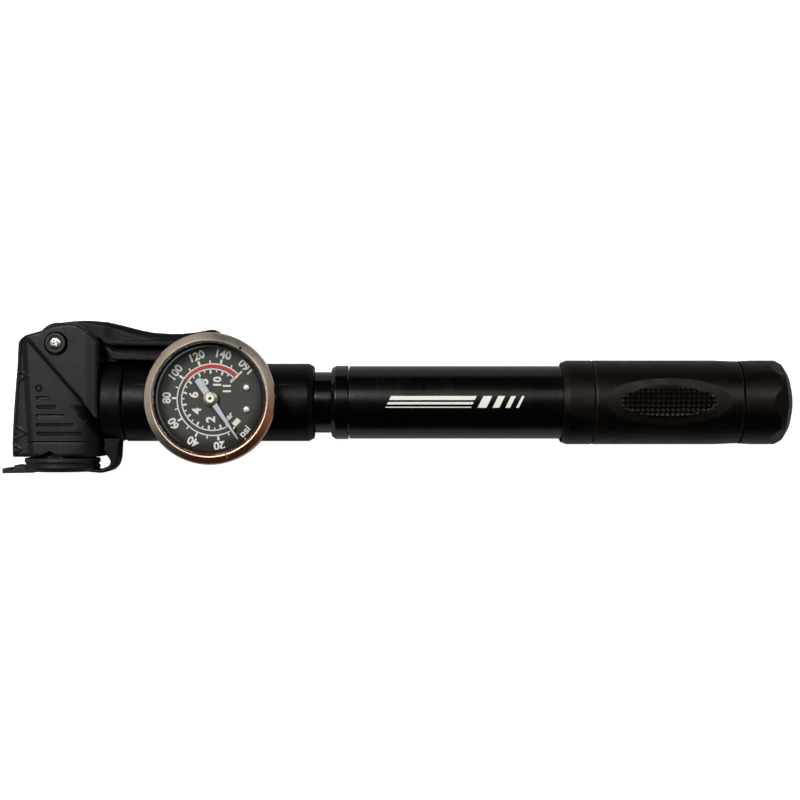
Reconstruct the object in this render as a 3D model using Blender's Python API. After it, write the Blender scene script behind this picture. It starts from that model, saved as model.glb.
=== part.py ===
"""Mini bicycle pump with a thumb-lock valve head and a dial pressure gauge.

The pump lies on its back. +X runs along it from the valve head to the grip, +Y is the side that
the thumb lever is on, and +Z is the way the dial faces. The origin is on the valve bore's axis, on
the flat back of the head. Dimensions are in millimetres and become metres when a mesh is placed.
"""

import math

import bmesh
import bpy
from mathutils import Matrix, Vector

MM = 0.001

# Shared sizes
AXIS_Z = 12.7  # height of the barrel's axis, half the grip's diameter
GAP = 0.3  # clearance between pieces that touch or run in each other
ROUND = 32  # sides of a large turned piece
FINE = 20  # sides of a small one

# Valve head
HEAD_DEPTH = 24.6
HEAD_BEVEL = 0.9
HEAD_OUTLINE = [
    (-13.0, -16.3), (12.5, -16.3), (12.5, 17.9), (9.2, 21.6), (7.0, 23.1), (4.6, 23.6),
    (1.7, 23.3), (-0.6, 22.9), (-2.7, 22.3), (-3.5, 21.6), (-9.5, 20.0), (-11.5, 18.4),
    (-11.9, 10.2), (-12.9, -2.8), (-13.4, -12.0),
]
PIVOT = (0.0, 17.6)  # the lever's hinge, X and Y
SLOT_LOW, SLOT_HIGH = 5.7, 19.7  # the fork's slot, along Z
SLOT_FLOOR = 10.2
BORE_RADIUS = 7.2  # the bore that the cam follower slides in
MOUTH_RADIUS = 8.3
MOUTH_TOP = -11.2
STEM_HOLE_RADIUS = 5.0
AIR_SLOT_HALF_WIDTH = 2.2  # the slot in the follower's skirt, in line with the stem hole

# Thumb lever
LEVER_HALF_WIDTH = 6.7
WEB_HALF_WIDTH = 1.8
CAM_LOW, CAM_RISE = 4.5, 2.0  # the cam pushes the follower by CAM_RISE over a quarter turn
HUB_RADIUS = 6.3
PIN_RADIUS = 1.7
BUSH_RADIUS = 3.0

# Dust cap and its strap
CAP_TOP = -16.7
CAP_THICK = 4.1
CAP_RADIUS = 11.3
PLUG_RADIUS, PLUG_HEIGHT = 3.8, 2.8
STRAP_HALF_WIDTH = 4.0
CAP_HINGE = (17.7, -15.6)
STRAP_PART = 0.2  # half of the gap at which the strap's two lengths meet

# Stem, gauge housing and front cap, along X
SPIGOT_START, SPIGOT_RADIUS = 8.0, 4.7
CORE_START, CORE_RADIUS = 12.8, 9.8
RING_START, RING_END, RING_RADIUS = 13.2, 19.3, 11.6
HOUSING_START, HOUSING_END, HOUSING_RADIUS = 19.6, 76.3, 11.75
VALVE_BORE_START, VALVE_BORE_RADIUS = 54.0, 5.2
THREAD_START, THREAD_RADIUS = 64.5, 7.4
PASSAGE_RADIUS = 1.5
NECK_START, NECK_END, NECK_RADIUS = 76.6, 81.6, 9.2
COLLAR_END, COLLAR_RADIUS = 86.6, 11.15
FRONT_CAP_END = 93.5

# Barrel, rod and piston, along X
BARREL_START, BARREL_END = 86.9, 195.0
BARREL_RADIUS, BARREL_BORE = 11.0, 9.7
GUIDE_START = 187.0
ROD_START, ROD_END, ROD_RADIUS = 100.1, 212.0, 4.0
PISTON_START, PISTON_END, PISTON_RADIUS = 95.5, 104.0, 9.2

# Grip, along X
GRIP_START, SEAM_FRONT, SEAM_BACK, GRIP_END = 150.7, 160.0, 204.4, 220.6
GRIP_RADIUS = 12.7
GRIP_WAIST = 12.45
GRIP_BORE = 11.3
SEAM = 0.15  # half the gap at a seam
CROSS_PIN_X, CROSS_PIN_RADIUS = 201.0, 1.2

# Gauge
GAUGE = (46.9, 1.1)  # its centre, X and Y
CASE_BACK, CASE_FRONT, CASE_RADIUS, CASE_WALL = 23.5, 32.3, 18.0, 0.8
BEZEL_FRONT, BEZEL_RADIUS, BEZEL_LIP = 35.3, 19.05, 16.6
DIAL_FRONT, DIAL_RADIUS = 29.3, 16.9
NEEDLE_REST = 304.0  # degrees, counter-clockwise from +X
STOP_PIN_ANGLE, STOP_PIN_DISTANCE = 308.3, 11.07
DIAL_SCREW = (10.4, 3.2)  # from the centre: along X, and either way along Y
TEETH_PINION, TEETH_SECTOR, MODULE = 8, 44, 0.35
GEAR_LOW, GEAR_HIGH = 25.9, 26.9
SECTOR_SIDE = 200.0  # degrees: where the sector's pivot lies from the dial's centre
SECTOR_SWEEP = 260.0 * TEETH_PINION / TEETH_SECTOR
TUBE_RADIUS = 13.4

# Finishes: base colour, roughness, metallic
CHARCOAL = ((0.045, 0.043, 0.042), 0.62, 0.0)
BLACK_PLASTIC = ((0.018, 0.018, 0.019), 0.45, 0.0)
GRIP_BROWN = ((0.035, 0.030, 0.026), 0.60, 0.0)
RUBBER = ((0.030, 0.029, 0.028), 0.80, 0.0)
ANODISED = ((0.010, 0.010, 0.011), 0.25, 0.6)
CHROME = ((0.80, 0.78, 0.75), 0.08, 1.0)
STEEL = ((0.60, 0.60, 0.58), 0.28, 1.0)
BRASS = ((0.75, 0.56, 0.27), 0.30, 1.0)
DIAL_GREY = ((0.050, 0.052, 0.055), 0.50, 0.0)
NEEDLE_BLUE = ((0.62, 0.72, 0.80), 0.40, 0.0)
ACETAL = ((0.80, 0.79, 0.74), 0.45, 0.0)
SEAL_RED = ((0.30, 0.03, 0.02), 0.60, 0.0)
CLEAR = ((0.90, 0.94, 0.94), 0.05, 0.0)


# Building blocks


def placed(name, data, finish):
    """Puts a mesh or a curve in the scene under its name, with a material of its own."""
    colour, roughness, metallic = finish
    material = bpy.data.materials.new(name)
    material.use_nodes = True
    shader = material.node_tree.nodes["Principled BSDF"]
    shader.inputs["Base Color"].default_value = (*colour, 1.0)
    shader.inputs["Roughness"].default_value = roughness
    shader.inputs["Metallic"].default_value = metallic
    data.materials.append(material)
    obj = bpy.data.objects.new(name, data)
    bpy.context.scene.collection.objects.link(obj)
    return obj


def finished(bm, name, finish, origin=(0.0, 0.0, 0.0)):
    """Makes the object from a mesh in millimetres, with its origin where its joint needs it."""
    bmesh.ops.remove_doubles(bm, verts=bm.verts, dist=1e-4)
    bmesh.ops.recalc_face_normals(bm, faces=bm.faces)
    if bm.calc_volume(signed=True) < 0:
        bmesh.ops.reverse_faces(bm, faces=bm.faces)
    bmesh.ops.translate(bm, verts=bm.verts, vec=-Vector(origin))
    bmesh.ops.scale(bm, verts=bm.verts, vec=(MM, MM, MM))
    mesh = bpy.data.meshes.new(name)
    bm.to_mesh(mesh)
    bm.free()
    mesh.shade_smooth()
    mesh.set_sharp_from_angle(angle=math.radians(35))
    obj = placed(name, mesh, finish)
    obj.location = Vector(origin) * MM
    return obj


def turned(name, profile, finish, axis="X", centre=(0.0, 0.0), sides=ROUND, origin=(0, 0, 0)):
    """Turns a section about an axis. The profile's points are (position on the axis, radius).

    centre gives the axis's place in the two directions across it, in X, Y, Z order.
    """
    bm = bmesh.new()
    verts = [bm.verts.new((along, 0.0, radius)) for along, radius in profile]
    for first, second in zip(verts, verts[1:] + verts[:1]):
        if first.co.z > 0 or second.co.z > 0:
            bm.edges.new((first, second))
    bmesh.ops.spin(
        bm, geom=bm.verts[:] + bm.edges[:], cent=(0, 0, 0), axis=(1, 0, 0),
        angle=math.tau, steps=sides, use_merge=True,
    )
    across = centre
    if axis == "X":
        turn, place = Matrix.Identity(3), (0, across[0], across[1])
    elif axis == "Y":
        turn, place = Matrix.Rotation(math.pi / 2, 3, "Z"), (across[0], 0, across[1])
    else:
        turn, place = Matrix.Rotation(-math.pi / 2, 3, "Y"), (across[0], across[1], 0)
    bmesh.ops.rotate(bm, verts=bm.verts, cent=(0, 0, 0), matrix=turn)
    bmesh.ops.translate(bm, verts=bm.verts, vec=place)
    return finished(bm, name, finish, origin)


def extruded(name, outline, low, high, finish, origin=(0, 0, 0)):
    """Extrudes an outline in X and Y from the height low to the height high."""
    bm = bmesh.new()
    face = bm.faces.new([bm.verts.new((x, y, low)) for x, y in outline])
    raised = bmesh.ops.extrude_face_region(bm, geom=[face])
    top = [item for item in raised["geom"] if isinstance(item, bmesh.types.BMVert)]
    bmesh.ops.translate(bm, verts=top, vec=(0, 0, high - low))
    return finished(bm, name, finish, origin)


def ring_seal(name, place, radius, thickness, finish, axis="X", **kw):
    """An O-ring with its section's centre at radius from the axis."""
    section = arc((place, radius), thickness / 2, 0, 300, 5)
    return turned(name, section, finish, axis=axis, centre=(0.0, AXIS_Z), sides=FINE, **kw)


def along_barrel(name, profile, finish, **kw):
    return turned(name, profile, finish, centre=(0.0, AXIS_Z), **kw)


def boolean(target, operation, tools):
    """Cuts tools from the target or joins them to it, and keeps them as hidden helpers."""
    for tool in tools:
        modifier = target.modifiers.new(tool.name, "BOOLEAN")
        modifier.operation = operation
        modifier.object = tool
        tool.hide_render = True
        tool.display_type = "WIRE"


def rod_tool(name, axis, centre, radius, low, high, sides=FINE):
    """A plain cylinder to cut with."""
    profile = [(low, 0.0), (low, radius), (high, radius), (high, 0.0)]
    return turned(name, profile, STEEL, axis=axis, centre=centre, sides=sides)


def box_tool(name, low, high):
    outline = [(low[0], low[1]), (high[0], low[1]), (high[0], high[1]), (low[0], high[1])]
    return extruded(name, outline, low[2], high[2], STEEL)


def arc(centre, radius, start, end, steps):
    """Points on a circle from the angle start to the angle end, in degrees."""
    points = []
    for k in range(steps + 1):
        angle = math.radians(start + (end - start) * k / steps)
        points.append((centre[0] + radius * math.cos(angle), centre[1] + radius * math.sin(angle)))
    return points


# Valve head


def make_head():
    head = extruded("head_body", HEAD_OUTLINE, 0.0, HEAD_DEPTH, CHARCOAL)
    bevel = head.modifiers.new("edges", "BEVEL")
    bevel.width = HEAD_BEVEL * MM
    bevel.segments = 2
    bevel.limit_method = "ANGLE"
    bevel.angle_limit = math.radians(50)
    hub_clearance = PIVOT[1] - SLOT_FLOOR
    slot_outline = arc(PIVOT, hub_clearance, 270, 180, 8)
    slot_outline += [(-hub_clearance, 27.0), (13.5, 27.0), (13.5, SLOT_FLOOR)]
    bush_hole = BUSH_RADIUS + 0.4
    bore = (0.0, AXIS_Z)
    boolean(head, "DIFFERENCE", [
        extruded("fork_slot_cutter", slot_outline, SLOT_LOW, SLOT_HIGH, STEEL),
        rod_tool("bore_cutter", "Y", bore, BORE_RADIUS, MOUTH_TOP - 0.5, SLOT_FLOOR + 3.5, ROUND),
        rod_tool("mouth_cutter", "Y", bore, MOUTH_RADIUS, -17.5, MOUTH_TOP, ROUND),
        rod_tool("stem_hole_cutter", "X", bore, STEM_HOLE_RADIUS, 5.0, 13.5),
        rod_tool("bush_hole_cutter", "Z", PIVOT, bush_hole, -1.0, HEAD_DEPTH + 1.0),
    ])


def make_pivot():
    turned("lever_pin", [(1.0, 0.0), (1.0, PIN_RADIUS), (23.7, PIN_RADIUS), (23.7, 0.0)],
           STEEL, axis="Z", centre=PIVOT, sides=FINE)
    hole = PIN_RADIUS + 0.25
    for side, low, high in (("front", 20.0, 23.8), ("rear", 0.9, 5.4)):
        section = [(low, hole), (low, BUSH_RADIUS), (high, BUSH_RADIUS), (high, hole)]
        turned("lever_bush_" + side, section, BLACK_PLASTIC, axis="Z", centre=PIVOT, sides=FINE)


def cam_outline(steps=8):
    """The cam's lobe, from straight down to the -X side, as (x, y) from the pivot.

    Its support distance grows evenly with the angle, so the flat follower moves evenly too.
    """
    slope = CAM_RISE / (math.pi / 2)
    points = []
    for k in range(steps + 1):
        swung = math.pi / 2 * k / steps
        angle = 1.5 * math.pi - swung
        reach = CAM_LOW + slope * swung
        points.append((
            PIVOT[0] + reach * math.cos(angle) + slope * math.sin(angle),
            PIVOT[1] + reach * math.sin(angle) - slope * math.cos(angle),
        ))
    return points


def make_lever():
    hinge = (PIVOT[0], PIVOT[1], AXIS_Z)
    low, high = AXIS_Z - LEVER_HALF_WIDTH, AXIS_Z + LEVER_HALF_WIDTH
    hub = [(2.5, PIVOT[1] - CAM_LOW)] + cam_outline() + arc(PIVOT, HUB_RADIUS, 150, 100, 4)
    back = [
        (4.0, 24.4), (7.6, 24.6), (10.1, 24.5), (14.6, 24.1), (19.2, 23.0), (24.5, 21.6), (28.2, 20.9),
        (33.1, 20.6), (36.6, 20.6), (41.2, 21.05), (44.4, 21.7), (46.05, 21.8), (47.2, 21.4),
    ]
    tip = [(46.8, 18.5), (45.2, 13.6), (43.6, 12.45), (40.5, 12.4)]
    underside = [(40.5, 16.9), (26.0, 16.85), (15.5, 17.1), (13.7, 17.5), (12.5, 18.9), (10.4, 19.3),
                 (5.6, 16.6), (4.6, 14.3)]
    lever = extruded("lock_lever", hub + back + tip + underside, low, high, CHARCOAL, hinge)
    strip = [(13.9, 16.9), (17.0, 15.25), (23.4, 14.6), (30.0, 14.2), (41.5, 14.1),
             (41.5, 12.45), (30.0, 12.5), (17.0, 12.8), (15.7, 13.2)]
    web = [(3.6, 13.6), (7.4, 13.1), (8.4, 12.1), (42.6, 12.1), (42.6, 18.4), (5.2, 19.5)]
    boolean(lever, "UNION", [
        extruded("lever_strip_tool", strip, low, high, STEEL),
        extruded("lever_web_tool", web, AXIS_Z - WEB_HALF_WIDTH, AXIS_Z + WEB_HALF_WIDTH, STEEL),
    ])
    hole = rod_tool("lever_hole_cutter", "Z", PIVOT, PIN_RADIUS + 0.25, low - 1, high + 1)
    boolean(lever, "DIFFERENCE", [hole])


def make_valve_parts():
    along_y = {"axis": "Y", "centre": (0.0, AXIS_Z)}
    top = PIVOT[1] - CAM_LOW - GAP
    follower = turned("cam_follower", [
        (0.3, 3.6), (0.3, 6.9), (7.5, 6.9), (7.5, 5.3), (9.7, 5.3), (9.7, 6.9), (top, 6.9), (top, 0.0),
        (8.0, 0.0), (8.0, 1.4), (5.0, 1.4), (5.0, 3.6),
    ], ACETAL, origin=(0.0, top, AXIS_Z), **along_y)
    slot_low, slot_high = AXIS_Z - AIR_SLOT_HALF_WIDTH, AXIS_Z + AIR_SLOT_HALF_WIDTH
    slot = box_tool("air_slot_cutter", (2.0, -1.0, slot_low), (8.0, 4.0, slot_high))
    boolean(follower, "DIFFERENCE", [slot])
    ring_seal("follower_o_ring", 8.6, 6.25, 1.4, SEAL_RED, axis="Y")
    turned("valve_pin", [(-1.2, 0.0), (-0.9, 1.1), (7.7, 1.1), (7.7, 0.0)], BRASS, sides=12, **along_y)
    turned("valve_gasket", [(-11.1, 4.0), (-11.1, 6.9), (-2.0, 6.9), (-2.0, 4.0)], RUBBER, **along_y)
    turned("valve_collar", [(-15.9, 4.3), (-15.9, 7.9), (-11.5, 7.9), (-11.5, 4.3)], BLACK_PLASTIC, **along_y)


# Dust cap and strap


def make_dust_cap():
    hinge = (CAP_HINGE[0], CAP_HINGE[1], AXIS_Z)
    bottom = CAP_TOP - CAP_THICK
    cap = turned("dust_cap", [
        (bottom, 0.0), (bottom, CAP_RADIUS - 0.8), (bottom + 0.8, CAP_RADIUS), (CAP_TOP - 0.6, CAP_RADIUS),
        (CAP_TOP, CAP_RADIUS - 0.6), (CAP_TOP, PLUG_RADIUS), (CAP_TOP + PLUG_HEIGHT - 0.6, PLUG_RADIUS),
        (CAP_TOP + PLUG_HEIGHT, PLUG_RADIUS - 0.8), (CAP_TOP + PLUG_HEIGHT, 0.0),
    ], RUBBER, axis="Y", centre=(0.0, AXIS_Z), origin=hinge)
    strap_low, strap_high = AXIS_Z - STRAP_HALF_WIDTH, AXIS_Z + STRAP_HALF_WIDTH
    tab = [(-18.1, -20.2), (-18.1, -21.5), (-8.0, -21.1), (-8.0, -19.6), (-14.2, -19.0), (-14.6, -20.1)]
    part_y = CAP_HINGE[1] - STRAP_PART
    loop = [(8.0, -20.9), (12.8, -21.3), (15.2, -20.5), (16.7, -19.2), (17.35, -17.4), (17.6, part_y),
            (14.6, part_y), (15.2, -17.8), (14.6, -19.2), (12.0, -20.0), (8.0, -19.4)]
    boolean(cap, "UNION", [
        extruded("pull_tab_tool", tab, strap_low, strap_high, STEEL),
        extruded("strap_loop_tool", loop, strap_low, strap_high, STEEL),
    ])


def make_strap_ring():
    ring = along_barrel("strap_ring", [
        (RING_START, CORE_RADIUS + GAP), (RING_START, RING_RADIUS), (RING_END, RING_RADIUS),
        (RING_END, CORE_RADIUS + GAP),
    ], RUBBER)
    end_y = CAP_HINGE[1] + STRAP_PART
    tail = [(13.2, -10.6), (13.0, -14.4), (14.4, end_y), (17.6, end_y), (17.9, -10.6)]
    boolean(ring, "UNION", [
        extruded("strap_tail_tool", tail, AXIS_Z - STRAP_HALF_WIDTH, AXIS_Z + STRAP_HALF_WIDTH, STEEL)
    ])


# Stem, housing and check valve


def make_housing():
    housing = along_barrel("gauge_housing", [
        (SPIGOT_START, PASSAGE_RADIUS), (SPIGOT_START, SPIGOT_RADIUS), (9.5, SPIGOT_RADIUS), (9.5, 3.4),
        (11.3, 3.4), (11.3, SPIGOT_RADIUS), (CORE_START, SPIGOT_RADIUS), (CORE_START, CORE_RADIUS),
        (HOUSING_START, CORE_RADIUS), (HOUSING_START, HOUSING_RADIUS), (HOUSING_END - 1.5, HOUSING_RADIUS),
        (HOUSING_END, HOUSING_RADIUS - 0.8), (HOUSING_END, THREAD_RADIUS), (THREAD_START, THREAD_RADIUS),
        (THREAD_START, VALVE_BORE_RADIUS), (VALVE_BORE_START, VALVE_BORE_RADIUS),
        (VALVE_BORE_START, PASSAGE_RADIUS),
    ], BLACK_PLASTIC)
    pad = CASE_BACK - GAP
    reach = CASE_RADIUS + 0.5
    boolean(housing, "DIFFERENCE", [
        box_tool("gauge_pad_cutter", (GAUGE[0] - reach, -20.0, pad), (GAUGE[0] + reach, 20.0, 30.0)),
        rod_tool("socket_hole_cutter", "Z", GAUGE, 4.2, 16.0, 30.0),
        rod_tool("gauge_passage_cutter", "Z", GAUGE, 1.2, AXIS_Z, 16.5, 12),
    ])
    ring_seal("stem_o_ring", 10.4, 4.2, 1.0, SEAL_RED)


def make_check_valve():
    seat = THREAD_START + 0.5
    face = seat - GAP
    along_barrel("check_valve", [
        (56.5, 0.0), (56.5, 1.6), (62.9, 1.6), (62.9, 4.6), (face, 4.6), (face, 0.0),
    ], ACETAL, sides=FINE, origin=(face, 0.0, AXIS_Z))
    turns, start, end, radius = 5, VALVE_BORE_START + 0.5, 62.4, 3.4
    steps = 12 * turns
    curve = bpy.data.curves.new("check_spring", "CURVE")
    curve.dimensions = "3D"
    curve.bevel_depth = 0.35 * MM
    curve.bevel_resolution = 1
    curve.use_fill_caps = True
    spline = curve.splines.new("POLY")
    spline.points.add(steps)
    for k, point in enumerate(spline.points):
        angle = math.tau * turns * k / steps
        place = Vector((
            start + (end - start) * k / steps, radius * math.cos(angle), AXIS_Z + radius * math.sin(angle),
        ))
        point.co = (*(place * MM), 1.0)
    placed("check_spring", curve, STEEL)


def make_front_cap():
    seat = THREAD_START + 0.5
    spigot, plug = THREAD_RADIUS - GAP, BARREL_BORE - 0.4
    along_barrel("front_cap", [
        (seat, 2.0), (seat, spigot), (70.0, spigot), (70.0, 5.4), (72.0, 5.4), (72.0, spigot),
        (NECK_START, spigot), (NECK_START, NECK_RADIUS), (NECK_END, NECK_RADIUS),
        (NECK_END, COLLAR_RADIUS - 0.7),
        (NECK_END + 1.3, COLLAR_RADIUS), (COLLAR_END, COLLAR_RADIUS), (COLLAR_END, plug), (88.5, plug),
        (88.5, 7.8), (90.7, 7.8), (90.7, plug), (FRONT_CAP_END, plug), (FRONT_CAP_END, 2.0),
    ], BLACK_PLASTIC)
    ring_seal("front_cap_o_ring", 71.0, 6.35, 1.2, SEAL_RED)
    ring_seal("barrel_o_ring", 89.6, 8.8, 1.3, SEAL_RED)


# Barrel, rod and piston


def make_barrel():
    along_barrel("barrel", [
        (BARREL_START, BARREL_BORE), (BARREL_START, BARREL_RADIUS), (BARREL_END, BARREL_RADIUS),
        (BARREL_END, BARREL_BORE),
    ], ANODISED)
    rod_hole, flange = ROD_RADIUS + GAP, BARREL_END + GAP
    along_barrel("rod_guide", [
        (GUIDE_START, rod_hole), (GUIDE_START, BARREL_BORE - GAP), (flange, BARREL_BORE - GAP),
        (flange, BARREL_RADIUS), (flange + 1.0, BARREL_RADIUS), (flange + 1.0, rod_hole),
    ], ACETAL)
    bumper = flange + 1.3
    along_barrel("stroke_bumper", [
        (bumper, rod_hole + 0.1), (bumper, 7.5), (bumper + 1.0, 7.5), (bumper + 1.0, rod_hole + 0.1),
    ], RUBBER, sides=FINE)


def make_piston():
    start = (PISTON_START, 0.0, AXIS_Z)
    rod = along_barrel("piston_rod", [
        (ROD_START, 1.9), (ROD_START, ROD_RADIUS), (ROD_END, ROD_RADIUS), (ROD_END, 0.0), (111.0, 0.0),
        (111.0, 1.9),
    ], STEEL, sides=24, origin=start)
    boolean(rod, "DIFFERENCE", [
        rod_tool("rod_cross_cutter", "Z", (CROSS_PIN_X, 0.0), CROSS_PIN_RADIUS + GAP, 2.0, 24.0, 12)
    ])
    along_barrel("piston", [
        (PISTON_START, 4.1), (PISTON_START, PISTON_RADIUS), (98.6, PISTON_RADIUS), (98.6, 7.4), (100.9, 7.4),
        (100.9, PISTON_RADIUS), (PISTON_END, PISTON_RADIUS), (PISTON_END, ROD_RADIUS + GAP),
        (99.8, ROD_RADIUS + GAP), (99.8, 2.3), (98.0, 2.3), (98.0, 4.1),
    ], ACETAL, origin=start)
    ring_seal("piston_seal", 99.75, 8.6, 1.7, RUBBER, origin=start)
    along_barrel("piston_screw", [
        (96.0, 0.0), (96.0, 3.7), (97.7, 3.7), (97.7, 1.6), (109.0, 1.6), (109.0, 0.0),
    ], STEEL, sides=12, origin=start)


def make_grip():
    start = (PISTON_START, 0.0, AXIS_Z)
    along_barrel("grip_collar", [
        (GRIP_START, GRIP_BORE), (GRIP_START, GRIP_RADIUS - 0.6), (GRIP_START + 1.8, GRIP_RADIUS),
        (SEAM_FRONT - SEAM, GRIP_RADIUS), (SEAM_FRONT - SEAM, GRIP_BORE),
    ], GRIP_BROWN, origin=start)
    bore = GRIP_BORE + 0.2
    along_barrel("grip_body", [
        (SEAM_FRONT + SEAM, bore), (SEAM_FRONT + SEAM, GRIP_RADIUS), (SEAM_BACK - 8.0, GRIP_RADIUS),
        (SEAM_BACK - SEAM, GRIP_WAIST), (SEAM_BACK - SEAM, bore),
    ], GRIP_BROWN, origin=start)
    spigot, shoulder, dome = bore - GAP, 215.8, 218.2
    end_cap = along_barrel("grip_end_cap", [
        (197.9, ROD_RADIUS + GAP), (197.9, spigot), (SEAM_BACK + SEAM, spigot),
        (SEAM_BACK + SEAM, GRIP_WAIST + 0.1), (208.5, GRIP_RADIUS), (212.0, GRIP_RADIUS),
        (shoulder, GRIP_RADIUS - 0.9), (dome, 9.9), (dome + 1.6, 6.0), (GRIP_END, 0.0), (213.0, 0.0),
        (213.0, ROD_RADIUS + GAP),
    ], GRIP_BROWN, origin=start)
    boolean(end_cap, "DIFFERENCE", [
        rod_tool("cap_cross_cutter", "Z", (CROSS_PIN_X, 0.0), CROSS_PIN_RADIUS + GAP, -2.0, 27.0, 12)
    ])
    pin_low, pin_high = AXIS_Z - spigot + 0.4, AXIS_Z + spigot - 0.4
    turned("rod_pin", [
        (pin_low, 0.0), (pin_low, CROSS_PIN_RADIUS), (pin_high, CROSS_PIN_RADIUS), (pin_high, 0.0),
    ], STEEL, axis="Z", centre=(CROSS_PIN_X, 0.0), sides=12, origin=start)


# Gauge


def from_centre(x, y):
    return (GAUGE[0] + x, GAUGE[1] + y)


def polar(angle, distance):
    turn = math.radians(angle)
    return (distance * math.cos(turn), distance * math.sin(turn))


def at_gauge(name, profile, finish, **kw):
    return turned(name, profile, finish, axis="Z", centre=GAUGE, **kw)


def make_gauge_case():
    floor = CASE_BACK + 0.9
    at_gauge("gauge_case", [
        (CASE_BACK, 4.2), (CASE_BACK, CASE_RADIUS - 0.6), (CASE_BACK + 0.6, CASE_RADIUS),
        (CASE_FRONT, CASE_RADIUS), (CASE_FRONT, CASE_RADIUS - CASE_WALL), (floor, CASE_RADIUS - CASE_WALL),
        (floor, 4.2),
    ], STEEL)
    skirt = CASE_RADIUS + GAP
    at_gauge("gauge_bezel", [
        (29.4, skirt), (29.4, BEZEL_RADIUS - 0.3), (29.9, BEZEL_RADIUS), (33.6, BEZEL_RADIUS),
        (34.7, BEZEL_RADIUS - 0.45), (BEZEL_FRONT, BEZEL_RADIUS - 1.3), (35.1, BEZEL_LIP + 0.4),
        (34.6, BEZEL_LIP), (33.9, BEZEL_LIP), (33.9, skirt),
    ], CHROME)
    at_gauge("gauge_lens", [(32.6, 0.0), (32.6, 17.95), (33.6, 17.95), (33.6, 0.0)], CLEAR)


def make_dial():
    thin = DIAL_FRONT - 0.4
    dial = at_gauge("gauge_dial", [
        (thin, 1.3), (thin, DIAL_RADIUS), (DIAL_FRONT, DIAL_RADIUS), (DIAL_FRONT, 1.3),
    ], DIAL_GREY)
    stop = from_centre(*polar(STOP_PIN_ANGLE, STOP_PIN_DISTANCE))
    holes = [rod_tool("stop_pin_hole_cutter", "Z", stop, 0.7, 28.0, 30.0, 12)]
    for number, side in enumerate((1, -1), start=1):
        place = from_centre(DIAL_SCREW[0], side * DIAL_SCREW[1])
        holes.append(rod_tool(f"dial_screw_hole_cutter_{number}", "Z", place, 0.9, 28.0, 30.0, 12))
        head = DIAL_FRONT + GAP
        turned(f"dial_screw_{number}", [
            (26.6, 0.0), (26.6, 0.6), (head, 0.6), (head, 1.15), (head + 0.4, 1.15), (head + 0.6, 0.8),
            (head + 0.6, 0.0),
        ], BRASS, axis="Z", centre=place, sides=12)
    boolean(dial, "DIFFERENCE", holes)
    turned("needle_stop_pin", [(28.1, 0.0), (28.1, 0.4), (31.2, 0.4), (31.2, 0.0)],
           BRASS, axis="Z", centre=stop, sides=10)


def make_needle():
    """The pointer with its boss, its hub cap, and the arbor with the pinion under the dial."""
    origin = (*GAUGE, 30.6)
    low, high = 30.6, 30.95
    along = math.radians(NEEDLE_REST)
    pointer = [(-6.7, 0.55), (-6.3, 1.05), (-2.0, 1.0), (2.0, 0.8), (9.0, 0.34), (12.6, 0.2)]
    sides = pointer + [(x, -y) for x, y in reversed(pointer)]
    outline = [
        from_centre(x * math.cos(along) - y * math.sin(along), x * math.sin(along) + y * math.cos(along))
        for x, y in sides
    ]
    needle = extruded("gauge_needle", outline, low, high, NEEDLE_BLUE, origin)
    boolean(needle, "UNION", [rod_tool("needle_boss_tool", "Z", GAUGE, 2.2, low - 0.1, high + 0.1)])
    boolean(needle, "DIFFERENCE", [rod_tool("needle_hole_cutter", "Z", GAUGE, 0.85, 30.0, 32.0, 12)])
    at_gauge("needle_cap", [
        (31.35, 0.0), (31.35, 1.5), (31.8, 1.5), (32.1, 1.1), (32.1, 0.35), (31.8, 0.35), (31.8, 0.0),
    ], BRASS, sides=16, origin=origin)
    arbor = at_gauge("needle_arbor", [
        (25.5, 0.0), (25.5, 0.6), (31.0, 0.6), (31.0, 0.0),
    ], BRASS, sides=12, origin=origin)
    pinion = gear_outline(TEETH_PINION, GAUGE, SECTOR_SIDE + 180 / TEETH_PINION, range(TEETH_PINION))
    boolean(arbor, "UNION", [extruded("pinion_tool", pinion, GEAR_LOW - 0.1, GEAR_HIGH + 0.1, BRASS)])


def gear_outline(teeth, centre, first_angle, which):
    """Teeth as tapered lugs with wide spaces, the first centred on first_angle."""
    pitch = MODULE * teeth / 2
    root, tip = pitch - 1.1 * MODULE, pitch + 0.75 * MODULE
    points = []
    for k in which:
        middle = first_angle + 360.0 * k / teeth
        for radius, half_width in ((root, 0.24), (tip, 0.11), (tip, -0.11), (root, -0.24)):
            turn = math.radians(middle) - half_width / radius
            points.append((centre[0] + radius * math.cos(turn), centre[1] + radius * math.sin(turn)))
    return points


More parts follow.
